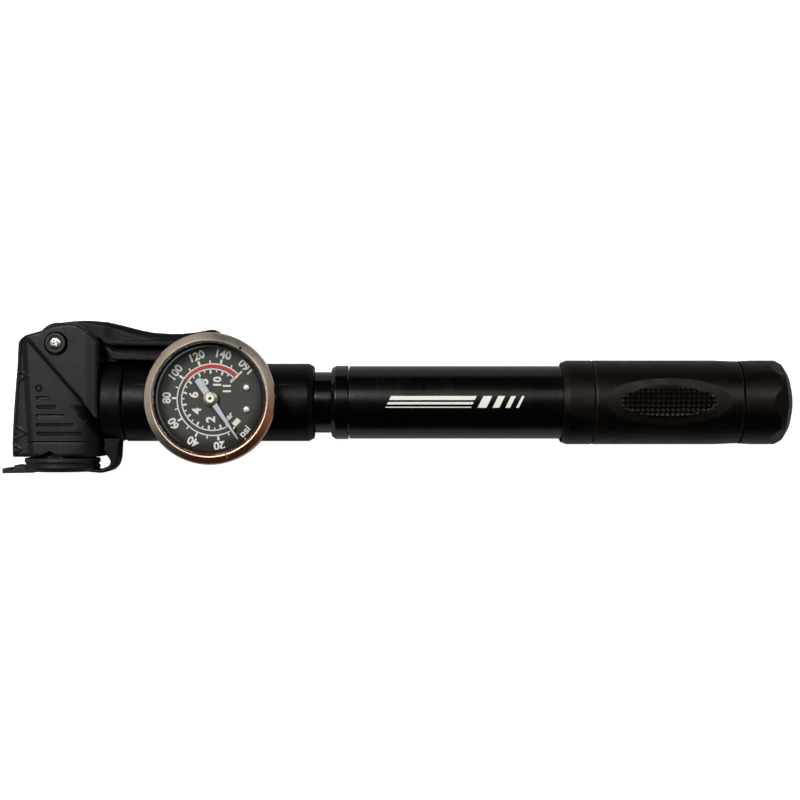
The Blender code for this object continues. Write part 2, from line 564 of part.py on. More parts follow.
def make_movement():
    distance = MODULE * (TEETH_PINION + TEETH_SECTOR) / 2
    pivot = from_centre(*polar(SECTOR_SIDE, distance))
    facing = SECTOR_SIDE - 180.0
    spare = 2
    below = math.ceil(SECTOR_SWEEP / 360.0 * TEETH_SECTOR) + spare
    teeth = gear_outline(TEETH_SECTOR, pivot, facing, range(-below, spare + 1))
    start, end = facing - below * 360.0 / TEETH_SECTOR, facing + spare * 360.0 / TEETH_SECTOR
    hub = arc(pivot, 1.5, end + 60, start + 300, 8)
    sector = extruded("sector_gear", teeth + hub, GEAR_LOW, GEAR_HIGH, BRASS, (*pivot, GEAR_LOW))
    tail_end = (pivot[0] + polar(290, 2.5)[0], pivot[1] + polar(290, 2.5)[1])
    tail = arc(tail_end, 0.7, 200, 380, 6) + arc(pivot, 0.9, 20, 200, 4)
    boolean(sector, "UNION", [extruded("sector_tail_tool", tail, GEAR_LOW + 0.05, GEAR_HIGH - 0.05, BRASS)])
    boolean(sector, "DIFFERENCE", [rod_tool("sector_hole_cutter", "Z", pivot, 0.8, 25.0, 28.0, 12)])
    turned("sector_pivot", [(24.8, 0.0), (24.8, 0.5), (28.2, 0.5), (28.2, 0.0)],
           BRASS, axis="Z", centre=pivot, sides=12)
    plate_points = [(-10.2, -4.0), (-8.4, -4.6), (0.0, -2.2), (8.6, -4.5), (11.6, -4.3), (11.6, 4.3),
                    (8.6, 4.5), (0.0, 2.2), (-8.8, -1.5), (-10.2, -2.4)]
    plate = extruded("movement_plate", [from_centre(*p) for p in plate_points], 27.3, 27.8, BRASS)
    screws = [from_centre(DIAL_SCREW[0], side * DIAL_SCREW[1]) for side in (1, -1)]
    boolean(plate, "UNION", [
        rod_tool(f"pillar_tool_{n}", "Z", place, 1.2, 24.7, 27.5, 12) for n, place in enumerate(screws)
    ])
    holes = [(pivot, 0.8, 27.0), (GAUGE, 0.9, 27.0)] + [(place, 0.85, 26.2) for place in screws]
    boolean(plate, "DIFFERENCE", [
        rod_tool(f"plate_hole_cutter_{n}", "Z", place, radius, low, 29.0, 12)
        for n, (place, radius, low) in enumerate(holes)
    ])
    link_end = from_centre(*polar(224, TUBE_RADIUS - 1.6))
    link = arc(tail_end, 0.6, 0, 180, 6) + arc(link_end, 0.6, 180, 360, 6)
    extruded("bourdon_link", link, 27.2, 27.6, BRASS)


def make_bourdon():
    low, high, half = 25.5, 28.3, 0.8
    outline = arc(GAUGE, TUBE_RADIUS + half, 286, 586, 30) + arc(GAUGE, TUBE_RADIUS - half, 586, 286, 30)
    extruded("bourdon_tube", outline, low, high, BRASS)
    socket = at_gauge("gauge_socket", [
        (16.5, 1.0), (16.5, 3.6), (17.0, 3.9), (24.7, 3.9), (24.7, 5.6), (25.2, 5.6), (25.2, 1.0),
    ], BRASS, sides=24)
    arm = [from_centre(*p) for p in ((-1.6, -4.0), (-1.6, -14.8), (3.0, -14.8), (1.6, -4.0))]
    block = arc(GAUGE, TUBE_RADIUS + 1.2, 264, 284.5, 4) + arc(GAUGE, TUBE_RADIUS - 1.2, 284.5, 264, 4)
    boolean(socket, "UNION", [
        extruded("socket_arm_tool", arm, 24.75, 25.15, BRASS),
        extruded("socket_block_tool", block, 24.8, 28.0, BRASS),
    ])


def main():
    for obj in list(bpy.data.objects):
        bpy.data.objects.remove(obj)
    make_head()
    make_pivot()
    make_lever()
    make_valve_parts()
    make_dust_cap()
    make_strap_ring()
    make_housing()
    make_check_valve()
    make_front_cap()
    make_barrel()
    make_piston()
    make_grip()
    make_gauge_case()
    make_dial()
    make_needle()
    make_movement()
    make_bourdon()


main()
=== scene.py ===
"""Mini bicycle pump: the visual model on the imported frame, with its floor, lights and camera.

The pump lies on its back. +X runs from the valve head to the grip, +Y is the thumb lever's side,
+Z is the way the dial faces. Sizes are in millimetres and become metres when a mesh is made.
"""
import math

import bmesh
import bpy
import numpy as np
from mathutils import Matrix, Vector


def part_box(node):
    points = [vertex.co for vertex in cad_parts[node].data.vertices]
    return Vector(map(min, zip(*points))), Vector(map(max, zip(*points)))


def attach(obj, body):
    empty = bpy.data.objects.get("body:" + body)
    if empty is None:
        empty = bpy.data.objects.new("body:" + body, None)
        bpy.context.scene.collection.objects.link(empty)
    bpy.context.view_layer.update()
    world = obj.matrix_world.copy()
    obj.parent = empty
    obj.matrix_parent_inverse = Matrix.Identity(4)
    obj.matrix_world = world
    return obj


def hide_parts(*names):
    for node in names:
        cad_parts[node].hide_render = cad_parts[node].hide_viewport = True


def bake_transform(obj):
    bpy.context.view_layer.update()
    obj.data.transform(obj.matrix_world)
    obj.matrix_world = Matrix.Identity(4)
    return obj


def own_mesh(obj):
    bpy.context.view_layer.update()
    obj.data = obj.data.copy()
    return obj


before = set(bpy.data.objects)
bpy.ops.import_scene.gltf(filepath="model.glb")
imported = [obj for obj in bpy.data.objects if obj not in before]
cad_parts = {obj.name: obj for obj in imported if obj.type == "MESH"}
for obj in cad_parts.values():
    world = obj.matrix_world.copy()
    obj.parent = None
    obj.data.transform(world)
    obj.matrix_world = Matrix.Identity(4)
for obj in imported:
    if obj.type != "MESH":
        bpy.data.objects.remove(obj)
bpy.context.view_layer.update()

MM = 0.001


def box(node):
    """A CAD node's lowest and highest corner, in millimetres."""
    low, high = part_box(node)
    return Vector(low) / MM, Vector(high) / MM


# Places taken from the frame
AXIS_Z = (box("barrel")[0].z + box("barrel")[1].z) / 2
PIVOT = tuple((box("lever_pin")[0] + box("lever_pin")[1]).xy / 2)
GAUGE = tuple((box("gauge_dial")[0] + box("gauge_dial")[1]).xy / 2)
DIAL_FRONT = box("gauge_dial")[1].z

# ---- Shapes ----


def rounded(points, steps=4, closed=True):
    """Rounds the corners of a polyline: a point's third value is the radius there."""
    made = []
    for i, point in enumerate(points):
        here = np.array(point[:2], float)
        radius = point[2] if len(point) > 2 else 0.0
        if radius == 0.0 or (not closed and i in (0, len(points) - 1)):
            made.append(tuple(here))
            continue
        back = np.array(points[i - 1][:2], float) - here
        on = np.array(points[(i + 1) % len(points)][:2], float) - here
        back_length, on_length = np.hypot(*back), np.hypot(*on)
        back, on = back / back_length, on / on_length
        half = math.acos(np.clip(back @ on, -1, 1)) / 2
        reach = min(radius / math.tan(half), 0.49 * back_length, 0.49 * on_length)
        radius = reach * math.tan(half)
        middle = (back + on) / np.hypot(*(back + on))
        centre = here + middle * radius / math.sin(half)
        first = here + back * reach - centre
        last = here + on * reach - centre
        start = math.atan2(first[1], first[0])
        sweep = (math.atan2(last[1], last[0]) - start + math.pi) % math.tau - math.pi
        for k in range(steps + 1):
            turn = start + sweep * k / steps
            made.append((centre[0] + radius * math.cos(turn), centre[1] + radius * math.sin(turn)))
    return made


def arc(centre, radius, start, end, steps):
    """Points on a circle, with the angles in degrees."""
    turns = np.radians(np.linspace(start, end, steps + 1))
    return [(centre[0] + radius * math.cos(t), centre[1] + radius * math.sin(t)) for t in turns]


def circle(centre, radius, steps):
    """A closed outline of points on a circle."""
    return arc(centre, radius, 0, 360, steps)[:-1]


def rotated(points, centre, degrees):
    """Points about the origin, turned by an angle and moved to a centre."""
    turn = math.radians(degrees)
    return [(centre[0] + x * math.cos(turn) - y * math.sin(turn),
             centre[1] + x * math.sin(turn) + y * math.cos(turn)) for x, y in points]


def rectangle(centre, half_x, half_y, degrees=0.0):
    """A rectangle's corners."""
    corners = [(-half_x, -half_y), (half_x, -half_y), (half_x, half_y), (-half_x, half_y)]
    return rotated(corners, centre, degrees)


def height_on(line, x):
    """The height at x of a line given as points."""
    return np.interp(x, *np.array(line).T)


def placed(name, data):
    """A new object in the scene."""
    obj = bpy.data.objects.new(name, data)
    bpy.context.scene.collection.objects.link(obj)
    return obj


def evaluated(obj):
    """The object's mesh with its modifiers applied."""
    return bpy.data.meshes.new_from_object(obj.evaluated_get(bpy.context.evaluated_depsgraph_get()))


def shape(name, verts, faces):
    """An object from points in millimetres, closed and facing out."""
    mesh = bpy.data.meshes.new(name)
    mesh.from_pydata((np.asarray(verts, float) * MM).tolist(), [], faces)
    bm = bmesh.new()
    bm.from_mesh(mesh)
    bmesh.ops.remove_doubles(bm, verts=bm.verts, dist=2e-7)
    bmesh.ops.recalc_face_normals(bm, faces=bm.faces)
    bm.to_mesh(mesh)
    bm.free()
    return placed(name, mesh)


def strips(rows, columns, loop_rows=False, loop_columns=True):
    """Four-sided faces that join a grid's points, row to row."""
    faces = []
    for i in range(rows if loop_rows else rows - 1):
        j = (i + 1) % rows
        for k in range(columns if loop_columns else columns - 1):
            n = (k + 1) % columns
            faces.append((i * columns + k, i * columns + n, j * columns + n, j * columns + k))
    return faces


def grid_border(rows, columns):
    """The points round a grid's border, in order."""
    grid = np.arange(rows * columns).reshape(rows, columns)
    return np.concatenate([grid[0, :-1], grid[:-1, -1], grid[-1, :0:-1], grid[:0:-1, 0]]).tolist()


def gathered(name, parts):
    """One object from several pairs of points and faces."""
    verts, faces = [], []
    for points, sides in parts:
        faces += [tuple(len(verts) + i for i in face) for face in sides]
        verts += points
    return shape(name, verts, faces)


def tube(low, high, bore, radius, bore_edge=0.0, edge=0.0):
    """The section of a plain tube, for turned."""
    return [(low, bore, bore_edge), (low, radius, edge), (high, radius, edge), (high, bore, bore_edge)]


def turned(name, profile, axis="X", centre=None, sides=96, steps=4):
    """Turns a closed section about an axis. Its points are (along, radius), or with a corner radius."""
    if centre is None:
        centre = {"X": (0.0, AXIS_Z), "Y": (0.0, AXIS_Z), "Z": GAUGE}[axis]
    section = rounded(profile, steps)
    turns = np.arange(sides) * math.tau / sides
    verts = []
    for along, radius in section:
        for turn in turns:
            a, b = centre[0] + radius * math.cos(turn), centre[1] + radius * math.sin(turn)
            verts.append({"X": (along, a, b), "Y": (a, along, b), "Z": (a, b, along)}[axis])
    on_axis = [radius == 0 for along, radius in section]
    faces = strips(len(section), sides, loop_rows=True)
    faces = [f for f in faces if not (on_axis[f[0] // sides] and on_axis[f[3] // sides])]
    return shape(name, verts, faces)


def inset(outline, distance):
    """Moves each side of a closed outline inwards by a distance."""
    points = np.array(outline, float)
    if np.sum(points[:, 0] * np.roll(points[:, 1], -1) - points[:, 1] * np.roll(points[:, 0], -1)) < 0:
        distance = -distance
    before = points - np.roll(points, 1, 0)
    after = np.roll(points, -1, 0) - points
    before /= np.linalg.norm(before, axis=1)[:, None]
    after /= np.linalg.norm(after, axis=1)[:, None]
    normal_a = np.stack([-before[:, 1], before[:, 0]], 1)
    normal_b = np.stack([-after[:, 1], after[:, 0]], 1)
    middle = normal_a + normal_b
    middle /= np.maximum(1e-9, np.sum(middle * normal_a, 1))[:, None]
    return points + middle * distance


def prism(name, outline, low, high, edge=0.0, steps=3):
    """Extrudes an outline in X and Y along Z, with its edges rounded by the radius edge."""
    turns = np.linspace(0, math.pi / 2, steps + 1) if edge else [0.0]
    layers = [(edge * (1 - math.sin(t)), low + edge * (1 - math.cos(t))) for t in turns]
    layers += [(edge * (1 - math.sin(t)), high - edge * (1 - math.cos(t))) for t in reversed(turns)]
    verts, count = [], len(outline)
    for shrink, z in layers:
        ring = inset(outline, shrink) if shrink else outline
        verts += [(x, y, z) for x, y in ring]
    ends = [tuple(range(count)), tuple(range(len(verts) - count, len(verts)))]
    return shape(name, verts, ends + strips(len(layers), count))


def relief(name, plan_x, plan_y, front, rim_z, back_z):
    """A block with a modelled front: the plan is two grids of X and Y, front gives the height there.

    The sides go straight down to rim_z, and from there in a little to the flat back.
    """
    rows, columns = plan_x.shape
    verts = np.stack([plan_x, plan_y, front(plan_x, plan_y)], 2).reshape(-1, 3).tolist()
    faces = strips(rows, columns, loop_columns=False)
    ring = grid_border(rows, columns)
    edge = np.array([verts[i] for i in ring])
    middle = edge.mean(0)
    for share, z in ((1.0, rim_z), (1.0 - 0.5 / np.ptp(edge[:, 0]), back_z + 0.2), (0.93, back_z)):
        start = len(verts)
        verts += [(*(middle[:2] + (p[:2] - middle[:2]) * share), z) for p in edge]
        new = list(range(start, start + len(edge)))
        for k in range(len(ring)):
            n = (k + 1) % len(ring)
            faces.append((ring[k], ring[n], new[n], new[k]))
        ring = new
    faces.append(tuple(ring))
    return shape(name, verts, faces)


def settle(obj):
    """Applies the modifiers, so that the mesh is final."""
    mesh = evaluated(obj)
    obj.modifiers.clear()
    obj.data = mesh


def combined(target, operation, tools):
    """Cuts the tools from the target or joins them to it, and removes them."""
    for tool in tools:
        modifier = target.modifiers.new(tool.name, "BOOLEAN")
        modifier.operation = operation
        modifier.solver = "MANIFOLD"
        modifier.object = tool
    settle(target)
    for tool in tools:
        bpy.data.objects.remove(tool)


def rod(axis, centre, radius, low, high, sides=64):
    """A plain cylinder to cut with."""
    return turned("tool", tube(low, high, 0, radius), axis, centre, sides)


def block(low, high):
    """A plain box to cut or join with."""
    outline = [(low[0], low[1]), (high[0], low[1]), (high[0], high[1]), (low[0], high[1])]
    return prism("tool", outline, low[2], high[2])


def dress(obj, material, replaced=(), body="pump_body", angle=32):
    """Smooths the piece, gives it its material, and puts it on its body."""
    obj.data.materials.clear()
    obj.data.materials.append(material)
    obj.data.shade_smooth()
    obj.data.set_sharp_from_angle(angle=math.radians(angle))
    # weighted normals keep the flats flat beside their rounded edges
    flats = obj.modifiers.new("flats", "WEIGHTED_NORMAL")
    flats.keep_sharp = True
    settle(obj)
    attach(obj, body)
    if replaced:
        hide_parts(*replaced)


# ---- Materials ----


def shade(colour, factor):
    """The colour, made lighter or darker."""
    return tuple(c * factor for c in colour)


class Nodes:
    """A material's node tree, with short ways to add to it."""

    def __init__(self, name, **inputs):
        self.material = bpy.data.materials.new(name)
        self.material.use_nodes = True
        self.tree = self.material.node_tree
        self.shader = self.tree.nodes["Principled BSDF"]
        for key, value in inputs.items():
            socket = self.shader.inputs[key.replace("_", " ")]
            socket.default_value = (*value, 1.0) if isinstance(value, tuple) else value
        self.place = self.tree.nodes.new("ShaderNodeTexCoord").outputs["Object"]

    def add(self, kind, inputs=None, **settings):
        node = self.tree.nodes.new("ShaderNode" + kind)
        for key, value in settings.items():
            setattr(node, key, value)
        for key, value in (inputs or {}).items():
            if isinstance(value, bpy.types.NodeSocket):
                self.tree.links.new(value, node.inputs[key])
            else:
                node.inputs[key].default_value = value
        return node

    def stretched(self, scale):
        """Texture coordinates in units of the size given for each direction, in millimetres."""
        sizes = [1.0 / (MM * s) for s in scale]
        return self.add("Mapping", {"Vector": self.place, "Scale": sizes}).outputs[0]

    def noise(self, size, detail=3.0, roughness=0.55):
        size = size if isinstance(size, tuple) else (size,) * 3
        inputs = {"Vector": self.stretched(size), "Scale": 1.0, "Detail": detail, "Roughness": roughness}
        return self.add("TexNoise", inputs).outputs["Fac"]

    def along(self, degrees):
        """How far the place lies from the gauge's centre in a direction."""
        heading = (math.cos(math.radians(degrees)), math.sin(math.radians(degrees)), 0.0)
        centre = (GAUGE[0] * MM, GAUGE[1] * MM, 0.0)
        offset = self.add("VectorMath", {0: self.place, 1: centre}, operation="SUBTRACT").outputs[0]
        return self.add("VectorMath", {0: offset, 1: heading}, operation="DOT_PRODUCT").outputs["Value"]

    def ranged(self, value, low, high, start=0.3, end=0.7):
        inputs = {"Value": value, "From Min": start, "From Max": end, "To Min": low, "To Max": high}
        return self.add("MapRange", inputs).outputs[0]

    def math(self, operation, first, second):
        return self.add("Math", {0: first, 1: second}, operation=operation).outputs[0]

    def blended(self, factor, first, second):
        node = self.add("Mix", {"Factor": factor}, data_type="RGBA")
        for socket, colour in ((node.inputs[6], first), (node.inputs[7], second)):
            if isinstance(colour, tuple):
                socket.default_value = (*colour, 1.0)
            else:
                self.tree.links.new(colour, socket)
        return node.outputs[2]

    def into(self, name, value):
        self.tree.links.new(value, self.shader.inputs[name])

    def finished(self, colour, roughness, normal):
        """The material, with its three inputs that vary over the surface."""
        self.into("Base Color", colour)
        self.into("Roughness", roughness)
        self.into("Normal", normal)
        return self.material

    def bump(self, height, depth, strength=1.0, after=None):
        """A bump whose height of 0 to 1 stands for a depth in millimetres."""
        inputs = {"Height": height, "Strength": strength, "Distance": depth * MM}
        if after is not None:
            inputs["Normal"] = after
        return self.add("Bump", inputs).outputs[0]


def moulded(name, colour, roughness, grain=0.35, depth=0.03, mottle=0.25, worn=None, gloss=0.3,
            tint=(1.0, 1.0, 1.0)):
    """Moulded plastic or rubber: a fine spark-eroded grain, faint mottling and lighter worn edges."""
    n = Nodes(name, Roughness=roughness, Specular_IOR_Level=gloss, Specular_Tint=tint)
    clouds = n.ranged(n.noise(7.0, 4.0), 0.0, 1.0)
    body = n.blended(clouds, shade(colour, 1 - mottle), shade(colour, 1 + mottle))
    specks = n.ranged(n.noise(grain * 0.8, 1.0), 0.0, 0.35, 0.58, 0.75)
    body = n.blended(specks, body, shade(colour, 1.8))
    if worn:
        edge = n.add("NewGeometry").outputs["Pointiness"]
        uneven = n.ranged(n.noise(2.0, 5.0), 0.1, 1.0)
        rub = n.math("MULTIPLY", n.ranged(edge, 0.0, 1.0, 0.515, 0.56), uneven)
        body = n.blended(rub, body, worn)
    gloss_patches = n.ranged(n.noise(4.0, 5.0), roughness - 0.07, roughness + 0.07)
    fine = n.bump(n.noise(grain, 2.0), depth)
    return n.finished(body, gloss_patches, n.bump(n.noise(grain * 6, 3.0), depth * 1.5, 0.6, fine))


def anodised(name, colour, roughness, gloss, depth=0.0035):
    """Black anodised tube: fine turning marks round it, faint draw lines and dust along it."""
    n = Nodes(name, Specular_IOR_Level=gloss)
    rings = n.noise((0.18, 40.0, 40.0), 2.0)
    lines = n.noise((60.0, 0.5, 0.5), 2.0)
    dusty = n.blended(n.ranged(lines, 0, 1), colour, shade(colour, 1.8))
    marks = n.math("ADD", n.ranged(rings, -0.03, 0.03), n.ranged(n.noise(9.0, 5.0), -0.04, 0.04))
    return n.finished(dusty, n.math("ADD", marks, roughness),
                      n.bump(rings, depth, 0.6, n.bump(n.noise(0.5, 2.0), depth, 0.5)))


def metal(name, colour, roughness, stretch=(0.15, 0.15, 0.15), depth=0.004, tarnish=0.25):
    """Bare or plated metal with machining marks of the given sizes, and patches of tarnish."""
    n = Nodes(name, Metallic=1.0)
    patches = n.ranged(n.noise(3.5, 6.0, 0.65), 0.0, tarnish, 0.45, 0.75)
    tarnished = n.blended(patches, colour, shade(colour, 0.55))
    marks = n.noise(stretch, 2.0)
    scratched = n.math("ADD", n.ranged(marks, -0.05, 0.05), n.ranged(n.noise(1.2, 5.0), -0.04, 0.08))
    return n.finished(tarnished, n.math("ADD", scratched, roughness), n.bump(marks, depth, 0.7))


def rim_plating(name, pale, brown):
    """Satin plating with painted shade: darker and browner to the lower right; polished bright where the
    rim turns down.
    """
    n = Nodes(name, Metallic=1.0)
    # painted shade: the tone runs from pale to dark brown towards the lower right
    painted_light_ramp = n.ranged(n.along(300), 0.0, 1.0, 4 * MM, 14 * MM)
    patches = n.ranged(n.noise(4.0, 6.0, 0.65), -0.12, 0.12)
    tone = n.blended(n.math("ADD", painted_light_ramp, patches), pale, brown)
    upright = n.add("SeparateXYZ", {"Vector": n.add("NewGeometry").outputs["Normal"]}).outputs["Z"]
    polish = n.ranged(upright, 0.14, 0.34, 0.55, 0.85)
    return n.finished(tone, n.math("ADD", polish, n.ranged(n.noise(1.2, 5.0), -0.03, 0.05)),
                      n.bump(n.noise((2.0, 2.0, 0.2), 2.0), 0.002, 0.6))


def dial_paint(name, colour, border):
    """Matt paint, with painted shade: a darker brown border that is wider to the lower right."""
    n = Nodes(name, Specular_IOR_Level=0.3)
    middle = ((GAUGE[0] - 0.7) * MM, (GAUGE[1] + 2.3) * MM, DIAL_FRONT * MM)
    away = n.add("VectorMath", {0: n.place, 1: middle}, operation="DISTANCE").outputs["Value"]
    uneven = n.ranged(n.noise(3.0), -0.08, 0.08)
    # painted shade: the border darkens towards the dial's edge, most to the lower right
    edge = n.math("ADD", n.ranged(away, 0.0, 1.0, 13.5 * MM, 16.4 * MM), uneven)
    speckled = n.blended(n.noise(0.25, 2.0), colour, shade(colour, 1.25))
    return n.finished(n.blended(edge, speckled, border), n.ranged(n.noise(4.0, 5.0), 0.42, 0.54),
                      n.bump(n.noise(0.25, 2.0), 0.006))


def frosted(name, pale, dark):
    """The window's edge ring, with a painted reflection: pale grey-blue on the side towards the head,
    dark elsewhere, and a fine grain.
    """
    n = Nodes(name, Specular_IOR_Level=0.25)
    # painted reflection: paler on the side towards the head
    painted_light_ramp = n.ranged(n.along(165), 0.0, 1.0, 3 * MM, 13 * MM)
    tone = n.math("ADD", painted_light_ramp, n.ranged(n.noise(1.5, 4.0), -0.1, 0.1))
    return n.finished(n.blended(tone, dark, pale), n.ranged(n.noise(0.6, 3.0), 0.4, 0.6),
                      n.bump(n.noise(0.3, 2.0), 0.004))


def printed(name, colour, roughness=0.55):
    """Screen-printed ink or enamel, a little uneven in tone and thickness."""
    n = Nodes(name)
    tone = n.blended(n.ranged(n.noise(0.5, 3.0), 0.0, 1.0), shade(colour, 0.86), colour)
    patches = n.ranged(n.noise(0.3, 2.0), roughness - 0.08, roughness + 0.08)
    return n.finished(tone, patches, n.bump(n.noise(0.2, 2.0), 0.006, 0.6))


def clear(name):
    """A moulded clear lens: see-through, finely scuffed, with a gloss that rises at low angles."""
    n = Nodes(name)
    tree, out = n.tree, n.tree.nodes["Material Output"]
    scuffs = n.ranged(n.noise(2.5, 4.0), 0.07, 0.11)
    gloss = n.add("BsdfGlossy", {"Color": (0.95, 0.97, 1.0, 1.0), "Roughness": scuffs})
    through = n.add("BsdfTransparent", {"Color": (0.985, 0.99, 0.985, 1.0)})
    head_on = 0.028
    turned_away = n.math("POWER", n.add("LayerWeight", {"Blend": 0.5}).outputs["Facing"], 5.0)
    share = n.math("ADD", n.math("MULTIPLY", turned_away, 1 - head_on), head_on)
    mix = n.add("MixShader", {0: share, 1: through.outputs[0], 2: gloss.outputs[0]})
    tree.links.new(mix.outputs[0], out.inputs["Surface"])
    tree.nodes.remove(n.shader)
    return n.material


WORN = (0.045, 0.043, 0.04)
CHARCOAL = moulded("charcoal_plastic", (0.0050, 0.0046, 0.0042), 0.46, worn=WORN, gloss=0.25)
LEVER_CHARCOAL = moulded("lever_plastic", (0.0032, 0.0030, 0.0029), 0.45, worn=WORN, gloss=0.13)
BLACK_PLASTIC = moulded("black_plastic", (0.0008, 0.0008, 0.0008), 0.36, grain=0.5, depth=0.012,
                        mottle=0.2, gloss=0.12)
CAP_RUBBER = moulded("cap_rubber", (0.0055, 0.0054, 0.0052), 0.52, grain=0.6, depth=0.02,
                     worn=(0.04, 0.04, 0.038))
# a darker copy of the cap's rubber: painted shade on the strap and its ring
SHADED_STRAP_RUBBER = moulded("strap_rubber_shaded", (0.0016, 0.0016, 0.0015), 0.46, grain=0.6, depth=0.02, gloss=0.14)
SEAL_RUBBER = moulded("seal_rubber", (0.010, 0.010, 0.010), 0.62, grain=0.8, depth=0.02)
GRIP_BROWN = moulded("grip_plastic", (0.0012, 0.0007, 0.0005), 0.40, grain=0.4, depth=0.02, mottle=0.2,
                     worn=(0.02, 0.014, 0.010), gloss=0.18, tint=(1.0, 0.87, 0.76))
ACETAL = moulded("natural_acetal", (0.72, 0.70, 0.64), 0.42, grain=0.9, depth=0.01, mottle=0.05)
# the dial's grey paint, with a painted shade border to the lower right
DIAL_GREY = dial_paint("dial_plate", (0.047, 0.047, 0.045), (0.006, 0.0035, 0.0025))
BUSH_GREY = moulded("bush_plastic", (0.026, 0.025, 0.024), 0.50, grain=0.3, depth=0.02)
ANODISED = anodised("anodised_black", (0.0007, 0.0005, 0.0004), 0.24, 0.36)
GLOSS_BLACK = anodised("gloss_black", (0.0005, 0.0005, 0.0005), 0.18, 0.40, 0.0012)
# the bezel's plating, with painted shade to the lower right
CHROME = rim_plating("bezel_chrome", (0.60, 0.53, 0.45), (0.58, 0.29, 0.18))
STEEL = metal("plated_steel", (0.62, 0.61, 0.59), 0.30)
ROD_STEEL = metal("rod_alloy", (0.66, 0.66, 0.65), 0.26, (0.12, 30.0, 30.0))
BRASS = metal("cut_brass", (0.78, 0.62, 0.38), 0.32, (0.4, 0.4, 0.1))
HUB_BRASS = metal("pale_brass", (0.80, 0.74, 0.63), 0.50, (0.2, 0.2, 0.2), 0.006, 0.2)
WHITE_INK = printed("white_ink", (0.86, 0.85, 0.81))
RED_INK = printed("red_ink", (0.56, 0.030, 0.028))
NEEDLE_BLUE = printed("needle_enamel", (0.55, 0.62, 0.69), 0.42)
LENS = clear("lens_clear")
# the lens edge carries a painted reflection, a pale crescent towards the head
LENS_EDGE = frosted("lens_edge", (0.075, 0.085, 0.10), (0.003, 0.003, 0.003))

# ---- Valve head ----

HEAD_LEFT = [  # the head's left edge from the bottom up, as (Y, X)
    (-16.3, -13.3), (-15.6, -13.7), (-12.0, -13.75), (-2.8, -13.1), (10.2, -11.9), (17.6, -11.55),
    (18.6, -11.1), (19.4, -10.2), (20.0, -9.0), (20.7, -6.4), (21.35, -4.1), (21.7, -3.6),
    (22.3, -2.7), (22.9, -0.6), (23.3, 1.7), (23.55, 4.1),
]
HEAD_RIGHT = [  # and its right edge
    (-16.3, 12.1), (-15.9, 12.5), (17.6, 12.5), (18.2, 12.2), (21.6, 9.2), (23.1, 6.8), (23.55, 4.5),
]
PLATE_Z, PANEL_Z = 23.6, 22.5
CREASE = [(-9.6, 20.4), (7.4, 0.8), (11.0, -4.6), (13.5, -6.4)]  # the raised plate's lower border
FOLD = [(2.2, 0.6), (3.6, -1.6), (7.5, -5.6), (11.6, -10.2), (13.0, -12.4)]  # the collar's shoulder
GROOVES = [(1.3, -1.6), (-1.4, 0.1), (-4.0, 2.5), (-6.7, 5.3), (-9.4, 7.8), (-12.0, 11.3)]
GROOVE_LEFT = -5.9
CHEVRONS = [  # ridges on the left edge: the tip, and the Y of the two ends at the rim
    ((-8.3, 7.9), 10.0, 5.6), ((-8.5, -9.1), -6.8, -11.2), ((-10.6, -14.0), -12.2, -15.8),
]


def smooth_step(value):
    t = np.clip(value, 0, 1)
    return t * t * (3 - 2 * t)


def from_segment(x, y, a, b):
    """Distance from the segment a to b."""
    dx, dy = b[0] - a[0], b[1] - a[1]
    t = np.clip(((x - a[0]) * dx + (y - a[1]) * dy) / (dx * dx + dy * dy), 0, 1)
    return np.hypot(x - a[0] - t * dx, y - a[1] - t * dy)


def from_line(x, y, line):
    """Distance from a line given as points."""
    return np.min([from_segment(x, y, a, b) for a, b in zip(line, line[1:])], axis=0)


def above_line(x, y, line):
    """Distance to the upper right of a border that runs down to the right."""
    near = from_line(x, y, line)
    return np.where(y > height_on(line, x), near, -near)


def groove(z, distance, depth, half_width, wall):
    """The height z with a groove in it, where distance is measured from the groove's middle."""
    return z - depth * smooth_step((half_width + wall - distance) / wall)


def edge_left(y):
    """The left edge, with the ends of the grip ridges that run round it."""
    ridges = 0.0
    for low, high in ((5.2, 9.8), (-11.4, -6.6), (-16.2, -12.6)):
        wave = np.sin((y - low) / (high - low) * math.pi * 3) ** 2
        ridges = ridges + np.where((y > low) & (y < high), 0.22 * wave, 0.0)
    return height_on(HEAD_LEFT, y) + ridges


def edge_right(y):
    """The plain right edge."""
    return height_on(HEAD_RIGHT, y)


def eased(z, away, radius):
    """The height z with a rounded edge, where away is the distance from the outline."""
    fall = np.clip(radius - away, 0, radius)
    return z - (radius - np.sqrt(np.maximum(0, radius * radius - fall * fall)))


